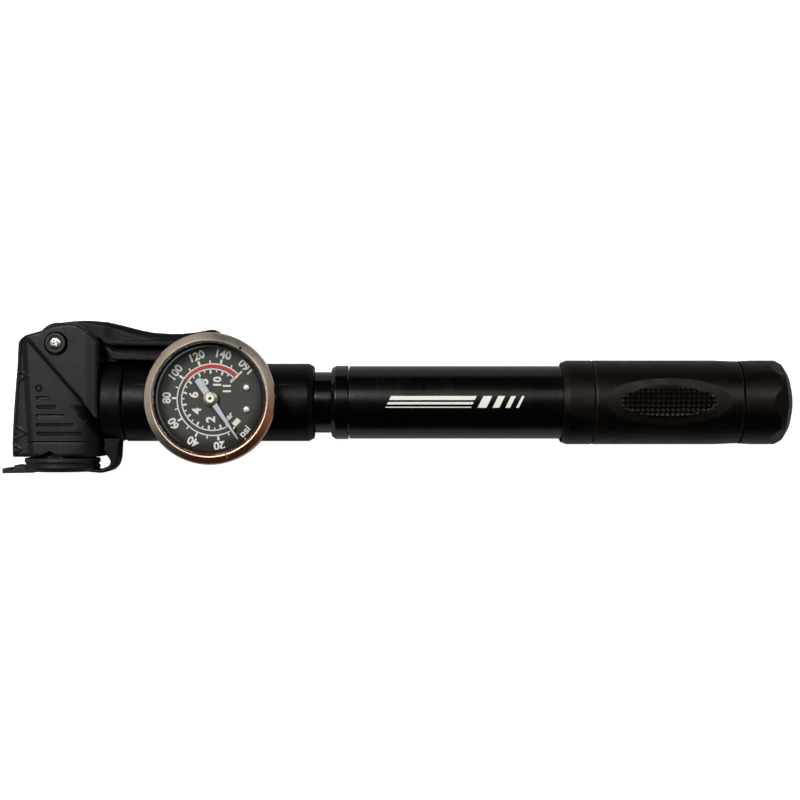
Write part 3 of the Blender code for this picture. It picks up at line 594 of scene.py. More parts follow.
def head_front(x, y):
    """The height of the valve head's front."""
    across = np.abs(np.clip(x + 0.4, -13.3, 13.1) / np.where(x > 0, 13.2, 13.5))
    power = np.where(x > 0, 2.1, 8.0)
    collar = 12.7 + np.where(x > 0, 11.5, 9.8) * np.maximum(0.0, 1 - across ** power) ** (1 / power)
    z = np.where(x > 0, -np.logaddexp(-1.8 * PANEL_Z, -1.8 * collar) / 1.8, np.minimum(PANEL_Z, collar))
    # the left edge: a shallow flute between the rim and the panel
    flute = smooth_step((x + 8.3 + 0.06 * (y - 17)) / -2.3) * smooth_step((y - 21.5) / -3)
    z = z - 0.9 * flute
    z = z + 0.5 * smooth_step((edge_left(y) + 1.4 - x) / 0.6)
    # the shoulder, which falls away to the right under the raised plate
    beyond = above_line(x, y, FOLD)
    low = smooth_step((-0.6 - y) / 6.0)
    fall = np.maximum(beyond, 0.0)
    z = z - np.minimum(10.0, 2.9 * fall * fall / (fall + 1.0)) * low
    # the raised plate
    raised = smooth_step(above_line(x, y, CREASE) / 1.3 + 0.5)
    z = z * (1 - raised) + PLATE_Z * raised
    z = z - 0.35 * smooth_step((x - 8.5) / 4.0) * raised
    # grip slots in the panel, growing towards the mouth
    for middle, right in GROOVES:
        left = -8.5 if middle == GROOVES[-1][0] else GROOVE_LEFT
        z = groove(z, from_segment(x, y, (left + 0.5, middle), (right - 0.5, middle)), 0.55, 0.22, 0.32)
    z = groove(z, np.abs(np.hypot(x + 5.1, y - 4.0) - 0.75), 0.35, 0.08, 0.28)
    for tip, *ends in CHEVRONS:
        for end in ends:
            z = groove(z, from_segment(x, y, tip, (-13.2, end)), -0.22, 0.05, 0.3)
    # the notch over the mouth
    notch = np.minimum(-14.5 - 0.47 * np.abs(x + 2.0) - y, 1.0)
    z = np.where(notch > 0, z - 6.0 * smooth_step(notch / 0.3), z)
    return eased(z, from_line(x, y, HEAD_BORDER + HEAD_BORDER[:1]), 1.1)


HEAD_BORDER = [(x, y) for y, x in HEAD_LEFT] + [(x, y) for y, x in reversed(HEAD_RIGHT)]


def make_head():
    top, bottom = HEAD_LEFT[-1][0], HEAD_LEFT[0][0]
    rows = np.linspace(bottom, top, 190)
    share = np.linspace(0, 1, 112)
    plan_y = np.repeat(rows[:, None], len(share), 1)
    left, right = edge_left(rows)[:, None], edge_right(rows)[:, None]
    plan_x = left + (right - left) * share[None, :]
    head = relief("valve_head", plan_x, plan_y, head_front, rim_z=1.2, back_z=0.0)
    reach = 7.4
    slot = arc(PIVOT, reach, 270, 180, 16) + [(-reach, 27.0), (14.5, 27.0), (14.5, PIVOT[1] - reach)]
    combined(head, "DIFFERENCE", [
        prism("tool", slot, 5.7, 19.7),
        turned("tool", [
            (-18, 0), (-18, 9.0), (-15.8, 8.3), (-11.2, 8.3), (-11.2, 7.2), (13.7, 7.2), (13.7, 0),
        ], "Y", sides=64),
        rod("X", (0.0, AXIS_Z), 5.0, 5.0, 14.5),
        rod("Z", (PIVOT[0] + 0.25, PIVOT[1] - 0.2), 3.6, 18.0, 30.0),
        rod("Z", PIVOT, 3.4, -1.0, 7.0),
    ])
    dress(head, CHARCOAL, ["head_body"])


# ---- Lever and its pivot ----

LEVER_TOP = [  # the thumb lever's upper edge, as (X, Y)
    (-3.2, 23.0), (0.0, 23.9), (4.0, 24.35), (7.6, 24.55), (10.1, 24.5), (14.6, 24.1), (19.2, 23.05),
    (24.5, 21.65), (28.2, 20.95), (33.1, 20.6), (36.6, 20.6), (41.2, 21.05), (44.4, 21.7),
    (45.6, 21.85), (46.6, 21.8), (47.2, 21.4),
]
LEVER_LOW = [  # and its lower edge
    (-3.2, 19.0), (4.0, 17.4), (8.0, 18.6), (10.4, 19.3), (12.5, 18.9), (13.7, 17.6), (15.5, 17.1),
    (26.0, 16.85), (40.5, 16.9), (43.0, 16.9), (45.5, 17.6), (47.2, 19.4),
]
LEVER_BACK, LEVER_FRONT = 6.0, 19.4


def lever_front(x, y):
    """The height of the thumb lever's front."""
    top, low = height_on(LEVER_TOP, x), height_on(LEVER_LOW, x)
    z = np.full(x.shape, LEVER_FRONT)
    # the upper face rolls over to the thumb side, wider and wider towards the tip
    roll = np.interp(x, [6.0, 12.0, 22.0, 34.0, 47.0], [0.8, 1.4, 2.6, 2.7, 2.2])
    drop = np.clip((y - (top - roll)) / roll, 0, 1)
    z = z - 1.6 * drop ** 2.0
    sunk = smooth_step((x - 13.5) / 3) * smooth_step((y - low - 1.3) / 0.6)
    z = z - 0.35 * sunk
    return eased(z, np.minimum(top - y, y - low), 0.45)


def make_lever():
    start, tip = LEVER_TOP[0][0], LEVER_TOP[-1][0]
    columns = np.concatenate([np.linspace(start, tip - 1.2, 130), np.linspace(tip - 1.1, tip, 8)])
    share = 0.5 - 0.5 * np.cos(np.linspace(0, math.pi, 26))
    plan_x = np.repeat(columns[:, None], len(share), 1)
    low, top = height_on(LEVER_LOW, columns)[:, None], height_on(LEVER_TOP, columns)[:, None]
    plan_y = low + (top - low) * share[None, :]
    lever = relief("thumb_lever", plan_x, plan_y, lever_front, rim_z=LEVER_BACK + 0.6,
                   back_z=LEVER_BACK)
    slope = 2.0 / (math.pi / 2)
    lobe = []
    for swung in np.linspace(0, math.pi / 2, 17):
        angle, reach = 1.5 * math.pi - swung, 4.5 + slope * swung
        lobe.append((PIVOT[0] + reach * math.cos(angle) + slope * math.sin(angle),
                     PIVOT[1] + reach * math.sin(angle) - slope * math.cos(angle)))
    hub = [(2.5, PIVOT[1] - 4.5)] + lobe + arc(PIVOT, 6.3, 165, 88, 12)
    hub += [(7.0, 21.0), (5.6, 16.6), (4.6, 14.3)]
    strip = [
        (13.9, 16.95, 0.3), (16.8, 15.3, 1.5), (23.4, 14.6, 4), (30.0, 14.2), (40.5, 14.1), (41.2, 16.9),
        (44.0, 17.4), (47.0, 19.2, 0.5), (45.3, 13.6, 2.0), (43.6, 12.5, 1.0), (30.0, 12.5),
        (17.0, 12.8, 1.2), (15.6, 13.3, 1.0),
    ]
    web = [(3.6, 13.6), (7.4, 13.1), (8.4, 12.3), (42.6, 12.6), (42.6, 18.4), (5.2, 19.5)]
    combined(lever, "UNION", [
        prism("tool", hub, LEVER_BACK, LEVER_FRONT, 0.35),
        prism("tool", rounded(strip), LEVER_BACK, LEVER_FRONT - 0.2, 0.4),
        prism("tool", web, AXIS_Z - 1.8, AXIS_Z + 1.8),
        block((12.9, 11.15, LEVER_BACK + 0.1), (42.4, 13.2, LEVER_BACK + 1.7)),
    ])
    # thumb grip: a row of shallow ribs across the outer face near the tip
    grooves = []
    for k in range(5):
        x = 33.0 + 2.2 * k
        outline = circle((x, float(height_on(LEVER_TOP, x)) + 0.25), 0.55, 12)
        grooves.append(prism("tool", outline, LEVER_BACK + 1.6, LEVER_FRONT - 2.4, 0.3))
    combined(lever, "DIFFERENCE", [rod("Z", PIVOT, 1.95, LEVER_BACK - 1, LEVER_FRONT + 1)] + grooves)
    dress(lever, LEVER_CHARCOAL, ["lock_lever"], "lever")


def make_pivot():
    for side, inner, outer, sunk in (("front", 20.0, 23.8, 23.55), ("rear", 5.4, 0.9, 1.15)):
        bush = turned("bush_" + side, [
            (inner, 1.95), (inner, 3.0, 0.2), (outer, 3.0, 0.45), (outer, 2.35, 0.1), (sunk, 2.2, 0.1),
            (sunk, 1.95),
        ], "Z", PIVOT, 64)
        dress(bush, BUSH_GREY, ["lever_bush_" + side])
    pin = turned("pivot_pin", [
        (1.0, 0.0), (1.0, 1.3), (1.3, 1.7), (22.7, 1.7), (23.0, 1.85, 0.15), (23.7, 1.6, 0.35),
        (23.9, 0.8, 0.3), (23.9, 0.0),
    ], "Z", PIVOT, 48)
    cross = [prism("tool", rectangle(PIVOT, *half), 23.2, 24.5) for half in ((1.05, 0.24), (0.24, 1.05))]
    combined(pin, "DIFFERENCE", cross)
    pin.data.transform(turn_about(PIVOT, 24.0))
    dress(pin, STEEL, ["lever_pin"])


def turn_about(centre, degrees):
    """A turn about an upright axis through a centre."""
    place = Matrix.Translation((centre[0] * MM, centre[1] * MM, 0))
    return place @ Matrix.Rotation(math.radians(degrees), 4, "Z") @ place.inverted()


# ---- Dust cap, strap and ring ----

STRAP_LOW, STRAP_HIGH = AXIS_Z - 4.0, AXIS_Z + 4.0


def make_cap():
    cap = turned("dust_cap_plate", [
        (-20.8, 0.0), (-20.8, 10.4, 0.5), (-19.6, 11.3, 0.5), (-18.9, 11.3, 0.3), (-18.6, 10.9, 0.25),
        (-18.2, 11.0, 0.25), (-17.9, 11.3, 0.3), (-16.7, 11.3, 0.5), (-16.7, 8.6, 0.1), (-16.1, 8.2, 0.2),
        (-16.1, 3.8, 0.1), (-14.5, 3.8, 0.2), (-13.9, 3.0, 0.4), (-13.9, 0.0),
    ], "Y")
    tab = [(-17.3, -19.75, 0.4), (-17.3, -21.35, 0.3), (-8.0, -21.2), (-8.0, -19.4), (-13.6, -18.8, 0.3),
           (-14.0, -19.7, 0.5)]
    combined(cap, "UNION", [prism("tool", rounded(tab), STRAP_LOW - 0.6, STRAP_HIGH + 0.6, 0.4)])
    ribs = [prism("tool", circle((x, -21.8), 0.4, 10), STRAP_LOW - 2, STRAP_HIGH + 2)
            for x in (-16.4, -15.4, -14.4)]
    combined(cap, "DIFFERENCE", ribs)
    dress(cap, CAP_RUBBER, ["dust_cap"], "cap")

    loop = [(6.0, -20.75), (12.6, -21.3, 3.0), (15.4, -20.4, 2.0), (16.9, -18.9, 2.0), (17.5, -16.9, 3.0),
            (17.9, -10.4), (13.3, -10.4), (12.9, -14.6, 0.5), (13.5, -15.3, 0.6), (15.2, -17.6, 1.2),
            (14.8, -19.0, 1.2), (12.0, -20.2, 1.5), (6.0, -19.5)]
    strap = prism("cap_strap", rounded(loop, 5), STRAP_LOW, STRAP_HIGH, 0.35)
    divide = strap.modifiers.new("length", "REMESH")
    divide.mode = "VOXEL"
    divide.voxel_size = 0.32 * MM
    settle(strap)
    soften = strap.modifiers.new("soften", "SMOOTH")
    soften.iterations = 3
    settle(strap)
    strap.data.materials.append(SHADED_STRAP_RUBBER)
    strap.data.shade_smooth()
    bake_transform(strap)


def make_ring():
    ring = turned("strap_ring_band", [
        (13.2, 10.1), (13.2, 11.5, 0.3), (13.8, 11.6, 0.3), (18.9, 11.6, 0.35), (19.3, 11.3, 0.2),
        (19.3, 10.1),
    ])
    combined(ring, "UNION", [block((13.4, -11.9, STRAP_LOW), (17.8, -10.0, STRAP_HIGH))])
    dress(ring, SHADED_STRAP_RUBBER, ["strap_ring"])


# ---- Housing, neck, barrel, rod ----

ROD_PIN = (201.0, 0.0)  # the place of the pin through the rod's end, in X and Y


def make_housing():
    housing = turned("gauge_body", [
        (8.0, 1.5), (8.0, 4.7, 0.4), (9.5, 4.7, 0.1), (9.5, 3.4), (11.3, 3.4), (11.3, 4.7, 0.1),
        (12.8, 4.7), (12.8, 9.8, 0.3), (19.6, 9.8), (19.6, 11.45, 0.2), (20.0, 11.75, 0.3),
        (74.7, 11.75, 0.6), (76.3, 10.9, 0.3), (76.3, 7.4), (64.5, 7.4), (64.5, 5.2), (54.0, 5.2),
        (54.0, 1.5),
    ], sides=128)
    reach = 18.6
    combined(housing, "DIFFERENCE", [
        block((GAUGE[0] - reach, -20.0, 23.2), (GAUGE[0] + reach, 20.0, 30.0)),
        rod("Z", GAUGE, 4.2, 16.0, 30.0),
    ])
    dress(housing, BLACK_PLASTIC, ["gauge_housing"])
    cap = turned("barrel_cap", [
        (65.0, 2.0), (65.0, 7.1, 0.3), (76.6, 7.1), (76.6, 9.2, 0.25), (81.6, 9.2), (81.6, 10.3, 0.15),
        (82.9, 11.15, 0.35), (86.6, 11.15, 0.25), (86.6, 9.3), (93.5, 9.3), (93.5, 2.0),
    ], sides=128)
    dress(cap, GLOSS_BLACK, ["front_cap"])


def make_valve_spring():
    """The check valve's spring, made at one length; the real spring shortens as the valve lifts."""
    start, end, coil, wire, coils, sides = 54.5, 62.4, 3.4, 0.35, 5, 12
    steps = 32 * coils
    along = np.linspace(0, 1, steps + 1)
    angle = math.tau * coils * along
    flat = np.zeros(steps + 1)
    outward = np.stack([flat, np.cos(angle), np.sin(angle)], 1)
    onward = np.stack([flat, -np.sin(angle), np.cos(angle)], 1)
    middle = coil * outward + np.stack([start + (end - start) * along, flat, flat + AXIS_Z], 1)
    heading = coil * math.tau * coils * onward + [end - start, 0, 0]
    heading /= np.linalg.norm(heading, axis=1)[:, None]
    upward = np.cross(heading, outward)
    verts = []
    for turn in np.arange(sides) * math.tau / sides:
        verts.append(middle + wire * (math.cos(turn) * outward + math.sin(turn) * upward))
    verts = np.stack(verts, 1).reshape(-1, 3)
    ends = [tuple(range(sides)), tuple(range(steps * sides, (steps + 1) * sides))]
    spring = shape("valve_spring", verts, ends + strips(steps + 1, sides))
    dress(spring, STEEL, ["check_spring"], angle=50)
    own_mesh(spring)


GRAPHIC = [  # slanted bars on the barrel: start and end in X, then low and high round it from its front
    (98.6, 124.0, 0.7, 1.9), (98.6, 124.0, -0.6, 0.1), (98.6, 124.0, -1.6, -1.3),
    (126.0, 128.6, -1.6, 1.9), (130.4, 132.4, -1.6, 1.9), (134.2, 135.6, -1.6, 1.9),
    (137.4, 138.2, -1.6, 1.9),
]


def wrapped_patch(start, end, low, high, radius):
    """A thin inlay on the barrel, from start to end in X and from low to high round it from its front."""
    columns, rows = max(2, int((end - start) / 3)) + 1, max(2, int((high - low) / 0.3)) + 1
    sunk, raised, slant = 0.05, 0.02, 0.5
    verts = []
    for r in (radius - sunk, radius + raised):
        for s in np.linspace(low, high, rows):
            y, z = r * math.sin(s / radius), AXIS_Z + r * math.cos(s / radius)
            verts += [(x + slant * s, y, z) for x in np.linspace(start, end, columns)]
    layer = columns * rows
    under = strips(rows, columns, loop_columns=False)
    border = grid_border(rows, columns)
    faces = under + [tuple(layer + i for i in reversed(face)) for face in under]
    faces += [(a, b, layer + b, layer + a) for a, b in zip(border, border[1:] + border[:1])]
    return verts, faces


def make_barrel():
    front, back, bore, radius = 86.9, 195.0, 9.7, 11.0
    barrel = turned("barrel_tube", tube(front, back, bore, radius, 0.1, 0.25), sides=128)
    dress(barrel, ANODISED, ["barrel"])
    graphic = gathered("barrel_graphic", [wrapped_patch(*bar, radius) for bar in GRAPHIC])
    dress(graphic, WHITE_INK)
    guide = turned("rod_bushing", [
        (187.0, 4.3, 0.2), (187.0, 9.4, 0.3), (195.3, 9.4), (195.3, 11.0, 0.15), (196.3, 11.0, 0.3),
        (196.3, 4.3, 0.3),
    ])
    dress(guide, ACETAL, ["rod_guide"])
    bumper = turned("stroke_buffer", tube(196.6, 197.6, 4.4, 7.5, 0.3, 0.4))
    dress(bumper, SEAL_RUBBER, ["stroke_bumper"])
    shaft = turned("pump_rod", [
        (100.1, 1.9), (100.1, 4.0, 0.3), (212.0, 4.0, 0.4), (212.0, 0.0), (111.0, 0.0), (111.0, 1.9),
    ], sides=64)
    combined(shaft, "DIFFERENCE", [rod("Z", ROD_PIN, 1.45, 2.0, 24.0, 32)])
    dress(shaft, ROD_STEEL, ["piston_rod"], "handle")


# ---- Grip ----

PAD = (181.8, 0.3)  # the thumb pad's centre, X and round the grip from its front
PAD_HALF = (18.4, 7.3)
KNURL_HALF = (14.6, 4.85)
PITCH = 1.5
GRIP_RADIUS = 12.7


def wrap(name, stations, turns, radius_at, inside):
    """A sleeve whose outside is radius_at(X, angle), the angle running round from the front.

    The inside is a list of (X, radius) that runs back to the start.
    """
    xs, angles = np.meshgrid(stations, turns, indexing="ij")
    radii = radius_at(xs, angles)
    rings = [np.stack([xs, radii * np.sin(angles), AXIS_Z + radii * np.cos(angles)], 2)]
    for x, radius in inside:
        y, z = radius * np.sin(turns), AXIS_Z + radius * np.cos(turns)
        rings.append(np.stack([np.full(turns.shape, x), y, z], 1)[None])
    verts = np.concatenate(rings, 0)
    return shape(name, verts.reshape(-1, 3), strips(*verts.shape[:2], loop_rows=True))


def grip_body_radius(x, turn):
    """The grip's sleeve, with the sunk oval pad and its knurled field on the front."""
    around = ((turn + math.pi) % math.tau - math.pi) * GRIP_RADIUS - PAD[1]
    along = x - PAD[0]
    waist = 0.25 * smooth_step((x - 196.0) / 8.0)
    ends = 0.22 * (smooth_step((160.45 - x) / 0.3) + smooth_step((x - 203.95) / 0.3))
    outer = np.hypot(along / PAD_HALF[0], around / PAD_HALF[1])
    inner = np.hypot(along / KNURL_HALF[0], around / KNURL_HALF[1])
    dish = 0.60 * np.clip((1.0 - outer) / 0.26, 0, 1) ** 0.8
    field = smooth_step((1.0 - inner) / 0.1)
    valley_x = 1 - np.abs((along / PITCH) % 1.0 - 0.5) * 2
    valley_y = 1 - np.abs((around / PITCH) % 1.0 - 0.5) * 2
    knurl = field * (0.30 - 0.42 * valley_x - 0.42 * valley_y)
    return GRIP_RADIUS - waist - ends - dish + knurl


def make_grip_sleeve():
    start, end, bore = 160.15, 204.25, 11.5
    fine = PITCH / 6
    reach = math.ceil(PAD_HALF[0] / fine) * fine
    stations = np.concatenate([
        [start, 160.3, 160.6, 161.2, 162.2], PAD[0] + np.arange(-reach, reach + fine / 2, fine),
        [202.0, 203.4, 203.9, 204.1, end],
    ])
    step = fine / GRIP_RADIUS
    middle = PAD[1] / GRIP_RADIUS
    count = math.ceil(PAD_HALF[1] / fine)
    near = middle + np.arange(-count, count + 1) * step
    far = np.linspace(near[-1], near[0] + math.tau, 72)[1:-1]
    turns = np.concatenate([near, far])
    sleeve = wrap("grip_sleeve", stations, turns, grip_body_radius, [(end, bore), (start, bore)])
    dress(sleeve, GRIP_BROWN, ["grip_body"], "handle", angle=28)


def make_grip_ends():
    collar = turned("grip_mouth", [
        (150.7, 11.3, 0.2), (150.7, 12.0, 0.3), (152.5, 12.7, 0.8), (159.85, 12.7, 0.2), (159.85, 11.3),
    ], sides=128)
    dress(collar, GRIP_BROWN, ["grip_collar"], "handle")

    profile = rounded([
        (204.55, 12.1), (204.55, 12.5, 0.15), (208.6, 12.7, 6.0), (215.2, 12.7, 1.0), (217.1, 11.7, 1.0),
        (218.8, 9.0, 1.8), (219.9, 5.4, 4.0), (220.5, 1.8, 3.0), (220.6, 0.02),
    ], 8, closed=False)
    along, radii = np.array(profile).T
    stations = np.unique(np.concatenate([along, np.linspace(212.5, 219.8, 40)]))
    turns = np.linspace(0, math.tau, 193)[:-1]
    order = np.argsort(along, kind="stable")

    def radius_at(x, turn):
        base = np.interp(x, along[order], radii[order])
        # six flats cut slantwise into the shoulder
        for k in range(6):
            away = (turn - k * math.tau / 6 + math.pi) % math.tau - math.pi
            flat = 12.66 - 0.33 * (x - 213.0)
            reach = flat / np.maximum(0.2, np.cos(away))
            base = np.where(np.abs(away) < math.tau / 12, np.minimum(base, reach), base)
        return base

    cap = wrap("grip_end", stations, turns, radius_at,
               [(213.0, 0.02), (213.0, 4.3), (197.9, 4.3), (197.9, 11.2), (204.55, 11.2)])
    combined(cap, "DIFFERENCE", [rod("Z", ROD_PIN, 1.5, -2.0, 27.0, 32)])
    dress(cap, GRIP_BROWN, ["grip_end_cap"], "handle", angle=24)


# ---- Gauge ----

ZERO_ANGLE, PSI_STEP, BAR_STEP = 311.2, 1.668, 24.19  # degrees at 0, per psi and per bar, clockwise
OUTER_ARC, INNER_ARC = 10.48, 8.99
NEEDLE_ANGLE = 304.0
INK = 0.04
PRINT = (GAUGE[0] + 0.55, GAUGE[1] - 0.3)  # the scales are printed a little off the needle's centre
BAR_PRINT = (PRINT[0] - 0.2, PRINT[1])


def polar(degrees, distance, centre=GAUGE):
    """The point at an angle and a distance from a centre."""
    turn = math.radians(degrees)
    return (centre[0] + distance * math.cos(turn), centre[1] + distance * math.sin(turn))


def make_case():
    case = turned("gauge_cup", [
        (23.5, 4.2), (23.5, 17.2, 0.6), (24.2, 18.0, 0.6), (28.7, 18.0, 0.2), (28.9, 18.25, 0.15),
        (29.2, 18.0, 0.2), (32.3, 18.0), (32.3, 17.2), (24.4, 17.2), (24.4, 4.2),
    ], "Z", sides=128)
    dress(case, STEEL, ["gauge_case"])
    bezel = turned("bezel_ring", [
        (29.4, 18.3), (29.4, 18.9, 0.15), (29.8, 19.25, 0.2), (33.3, 19.25, 0.4), (34.05, 18.9, 0.15),
        (34.2, 18.7, 0.1), (34.95, 17.5, 3.0), (35.24, 17.0, 0.05), (35.18, 16.65, 0.28),
        (34.7, 16.3, 0.2), (33.9, 16.2), (33.9, 18.3),
    ], "Z", sides=160)
    nick = [polar(-74.0, 16.6), polar(-73.0, 16.6), polar(-71.4, 18.6), polar(-72.4, 18.6)]
    combined(bezel, "DIFFERENCE", [
        rod("Z", polar(58.0, 17.2), 0.4, 33.6, 36.0, 24),
        rod("Z", polar(187.0, 17.4), 0.25, 34.4, 36.0, 24),
        prism("tool", nick, 34.6, 36.0),
    ])
    dress(bezel, CHROME, ["gauge_bezel"])
    liner = turned("lens_gasket", tube(33.62, 33.85, 16.2, 17.9, 0.08), "Z", sides=128)
    dress(liner, SEAL_RUBBER)
    lens = turned("gauge_window", [
        (32.6, 0.0), (32.6, 17.95), (33.6, 17.95), (33.6, 15.9), (34.05, 15.2), (34.15, 7.0, 30.0),
        (34.2, 0.0),
    ], "Z", sides=160)
    dress(lens, LENS, ["gauge_lens"])
    edge = turned("lens_edge", [
        (33.8, 14.95), (34.12, 15.0, 0.04), (34.12, 15.3, 0.1), (33.8, 15.5),
    ], "Z", sides=160)
    dress(edge, LENS_EDGE)
    # a dark ring standing for the shade between the dial and the bezel
    rim = turned("dial_shade_ring", [
        (29.35, 16.3, 0.1), (29.35, 17.1), (32.4, 17.1), (32.4, 16.8, 0.1), (30.2, 16.7, 0.3),
    ], "Z", sides=128)
    dress(rim, SEAL_RUBBER)


def make_text(words, place, degrees, height, width, weight):
    """Flat lettering on the dial as points and faces, reading along the direction given."""
    font = bpy.data.curves.new("text", "FONT")
    font.body = words
    font.align_x = "CENTER"
    font.align_y = "CENTER"
    font.size = height / 0.7 * MM
    font.offset = weight * MM
    font.extrude = INK / 2 * MM
    font.resolution_u = 4
    obj = placed("text", font)
    mesh = evaluated(obj)
    points = [v.co / MM for v in mesh.vertices]
    middle = (min(p.y for p in points) + max(p.y for p in points)) / 2
    flat = rotated([(p.x * width, p.y - middle) for p in points], place, degrees)
    verts = [(*spot, DIAL_FRONT + INK / 2 + p.z) for spot, p in zip(flat, points)]
    faces = [tuple(p.vertices) for p in mesh.polygons]
    bpy.data.objects.remove(obj)
    return verts, faces


def make_mark(outline):
    """A flat printed mark on the dial as points and faces."""
    count = len(outline)
    verts = [(x, y, z) for z in (DIAL_FRONT, DIAL_FRONT + INK) for x, y in outline]
    faces = [tuple(range(count)), tuple(range(count, 2 * count))]
    faces += [(k, (k + 1) % count, count + (k + 1) % count, count + k) for k in range(count)]
    return verts, faces


def ring_mark(radius, half, start, end, centre):
    steps = max(2, int(abs(end - start) / 3))
    outside = arc(centre, radius + half, start, end, steps)
    return make_mark(outside + arc(centre, radius - half, end, start, steps))


def tick(degrees, inner, outer, half, centre):
    middle = polar(degrees, (inner + outer) / 2, centre)
    return make_mark(rectangle(middle, (outer - inner) / 2, half, degrees))


def make_dial():
    dial = turned("dial_disc", [
        (28.9, 1.3), (28.9, 16.9, 0.1), (DIAL_FRONT, 16.9, 0.1), (DIAL_FRONT, 1.3, 0.05),
    ], "Z", sides=128)
    stop = polar(308.3, 11.07)
    screws = [(GAUGE[0] + 10.4, GAUGE[1] + side * 3.2) for side in (1, -1)]
    combined(dial, "DIFFERENCE", [rod("Z", stop, 0.62, 28.0, 30.0, 24)]
             + [rod("Z", place, 0.9, 28.0, 30.0, 24) for place in screws])
    dress(dial, DIAL_GREY, ["gauge_dial"])

    psi = {value: ZERO_ANGLE - PSI_STEP * value for value in range(10, 161, 10)}
    bar = [ZERO_ANGLE - BAR_STEP * value / 2 for value in range(1, 23)]
    marks = [ring_mark(OUTER_ARC, 0.18, psi[10] + 4, psi[160], PRINT),
             ring_mark(INNER_ARC, 0.18, bar[0] + 4, psi[160], BAR_PRINT)]
    for value, angle in psi.items():
        long = value % 20 == 0
        if value < 160:
            length, half = (1.55, 0.30) if long else (1.05, 0.19)
            marks.append(tick(angle, OUTER_ARC, OUTER_ARC + length, half, PRINT))
        if long:
            flipped = 180 if value == 160 else 0
            place = polar(angle, 13.6, PRINT)
            marks.append(make_text(str(value), place, angle - 90 + flipped, 2.3, 1.0, 0.11))
    for k, angle in enumerate(bar, start=1):
        if angle > psi[160]:
            length, half = (1.35, 0.28) if k % 2 == 0 else (0.85, 0.19)
            marks.append(tick(angle, INNER_ARC - length, INNER_ARC, half, BAR_PRINT))
    marks.append(tick(psi[160], 7.2, 11.9, 0.27, PRINT))
    for value in (2, 4, 6, 8, 10, 11):
        angle = ZERO_ANGLE - BAR_STEP * value
        far, height = (5.85, 2.5) if value < 10 else (5.3, 2.2)
        if value == 10:
            angle += 7.0
        if value == 11:
            angle, far = angle - 6.5, 5.2
        marks.append(make_text(str(value), polar(angle, far, PRINT), 90, height, 1.0, 0.12))
    marks.append(make_text("bar", polar(311.0, 6.7, PRINT), 46, 1.7, 0.95, 0.06))
    marks.append(make_text("psi", polar(315.0, 13.5, PRINT), 46, 2.2, 1.0, 0.07))
    marks.append(make_mark(rectangle(polar(316.0, 9.5, PRINT), 1.15, 0.75, 46)))
    dress(gathered("dial_print_white", marks), WHITE_INK)
    band = ring_mark((OUTER_ARC + INNER_ARC) / 2, 0.42, psi[100], psi[160] + 1.4, PRINT)
    dress(gathered("dial_print_red", [band]), RED_INK)

    for number, place in enumerate(screws, start=1):
        screw = turned(f"dial_screw_head_{number}", [
            (26.6, 0.0), (26.6, 0.6), (29.35, 0.6), (29.35, 1.15, 0.05), (29.6, 1.15, 0.15),
            (30.05, 0.75, 0.4), (30.15, 0.0),
        ], "Z", place, 48, 5)
        slot = prism("tool", rectangle(place, 1.3, 0.11), 29.9, 30.5)
        combined(screw, "DIFFERENCE", [slot])
        dress(screw, HUB_BRASS, [f"dial_screw_{number}"])
    pin = turned("stop_post", [(28.1, 0.0), (28.1, 0.4), (31.2, 0.4, 0.15), (31.2, 0.0)], "Z", stop, 32)
    dress(pin, BRASS, ["needle_stop_pin"])


def make_needle():
    pointer = [
        (-6.9, 0.75, 0.3), (-6.5, 1.0, 0.3), (-2.0, 0.98), (2.0, 0.80), (9.0, 0.42), (14.3, 0.16, 0.1),
    ]
    sides = rounded(pointer + [(x, -y, *r) for x, y, *r in reversed(pointer)], 4)
    needle = prism("needle_blade", rotated(sides, GAUGE, NEEDLE_ANGLE), 30.6, 30.95, 0.06, 2)
    combined(needle, "DIFFERENCE", [rod("Z", GAUGE, 0.85, 30.0, 32.0, 32)])
    dress(needle, NEEDLE_BLUE, ["gauge_needle"], "needle")
    boss = turned("needle_boss", [
        (30.45, 0.75), (30.45, 2.2, 0.1), (31.0, 2.2, 0.2), (31.25, 1.75, 0.1), (31.25, 0.75),
    ], "Z", sides=64)
    dress(boss, STEEL, body="needle")
    hub = turned("needle_hub", [
        (31.3, 0.0), (31.3, 1.5, 0.1), (31.9, 1.5, 0.25), (32.1, 1.15, 0.15), (32.1, 0.45, 0.08),
        (31.35, 0.4), (31.35, 0.0),
    ], "Z", sides=64)
    dress(hub, HUB_BRASS, ["needle_cap"], "needle")
    # a dark disc in the hub's hole, standing for the shade in it
    socket = turned("needle_hub_hole_shade", tube(31.4, 31.75, 0.0, 0.36, 0.0, 0.05), "Z", sides=24)
    dress(socket, SEAL_RUBBER, body="needle")


# ---- Pieces kept from the CAD model ----

KEPT = [
    (STEEL, ["piston_screw", "rod_pin"]),
    (ACETAL, ["cam_follower", "check_valve", "piston"]),
    (SEAL_RUBBER, ["follower_o_ring", "stem_o_ring", "front_cap_o_ring", "barrel_o_ring", "piston_seal",
                   "valve_gasket"]),
    (BLACK_PLASTIC, ["valve_collar"]),
    (BRASS, ["valve_pin", "gauge_socket", "bourdon_tube", "bourdon_link", "sector_gear", "sector_pivot",
             "needle_arbor", "movement_plate"]),
]


def dress_kept_nodes():
    for material, nodes in KEPT:
        for node in nodes:
            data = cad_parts[node].data
            for k in range(len(data.materials)):
                data.materials[k] = material


# ---- Floor, light and camera ----


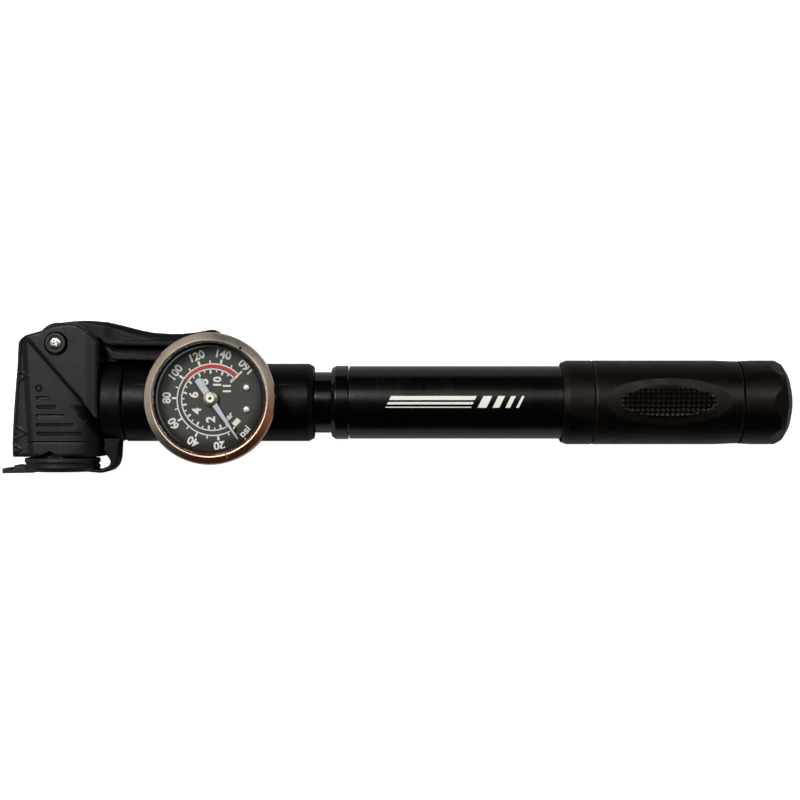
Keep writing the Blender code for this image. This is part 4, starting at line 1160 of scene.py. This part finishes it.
def make_floor():
    half = 4.0
    mesh = bpy.data.meshes.new("floor")
    corners = [(x, y, 0) for x, y in rectangle((0, 0), half, half)]
    mesh.from_pydata(corners, [], [(0, 1, 2, 3)])
    floor = placed("floor", mesh)
    floor.location.z = -0.0002  # just clear of the pieces that rest on it
    n = Nodes("light_table", Base_Color=(0.45, 0.45, 0.45), Roughness=0.8, Specular_IOR_Level=0.2,
              Emission_Color=(1.0, 0.99, 0.98))
    n.into("Emission Strength", n.add("LightPath").outputs["Is Camera Ray"])
    mesh.materials.append(n.material)


def area_light(name, place, size, power, colour):
    """A rectangular lamp that faces the pump."""
    light = bpy.data.lights.new(name, "AREA")
    light.shape = "RECTANGLE"
    light.size, light.size_y = size
    light.energy = power
    light.color = colour
    obj = placed(name, light)
    obj.location = place
    obj.rotation_euler = (Vector((0.10, 0, 0.01)) - Vector(place)).to_track_quat("-Z", "Y").to_euler()


def make_light():
    area_light("key_strip", (0.10, 0.54, 1.18), (1.2, 0.60), 1.5, (1.0, 0.98, 0.96))
    area_light("lamp_left", (-0.35, 0.46, 1.12), (0.50, 0.40), 12.5, (1.0, 0.98, 0.95))
    area_light("lamp_right", (0.66, 0.48, 1.10), (0.50, 0.40), 4.5, (1.0, 0.98, 0.95))
    area_light("wall_left", (-1.30, 0.10, 0.55), (1.4, 1.0), 2.2, (1.0, 0.92, 0.83))
    area_light("wall_right", (1.50, -0.20, 0.55), (1.4, 1.0), 1.4, (1.0, 0.76, 0.58))
    area_light("wall_back", (-0.65, 1.20, 0.60), (1.1, 0.9), 1.3, (1.0, 0.92, 0.83))
    world = bpy.data.worlds.new("studio")
    bpy.context.scene.world = world
    world.use_nodes = True
    nodes, links = world.node_tree.nodes, world.node_tree.links
    dim = nodes["Background"]
    dim.inputs["Color"].default_value = (0.010, 0.0095, 0.009, 1.0)
    backdrop = nodes.new("ShaderNodeBackground")
    backdrop.inputs["Color"].default_value = (0.95, 0.95, 0.95, 1.0)
    seen = nodes.new("ShaderNodeLightPath")
    mix = nodes.new("ShaderNodeMixShader")
    links.new(seen.outputs["Is Camera Ray"], mix.inputs[0])
    links.new(dim.outputs[0], mix.inputs[1])
    links.new(backdrop.outputs[0], mix.inputs[2])
    links.new(mix.outputs[0], nodes["World Output"].inputs["Surface"])


def make_camera():
    data = bpy.data.cameras.new("camera")
    data.lens = 72.0
    data.sensor_width = 36.0
    data.clip_start, data.clip_end = 0.01, 20.0
    camera = placed("camera", data)
    camera.location = (0.1022, 0.0007, 0.4977)
    bpy.context.scene.camera = camera
    bpy.context.scene.view_settings.view_transform = "Standard"


make_camera()
make_head()
make_lever()
make_pivot()
make_cap()
make_ring()
make_housing()
make_valve_spring()
make_barrel()
make_grip_sleeve()
make_grip_ends()
make_case()
make_dial()
make_needle()
dress_kept_nodes()
make_floor()
make_light()
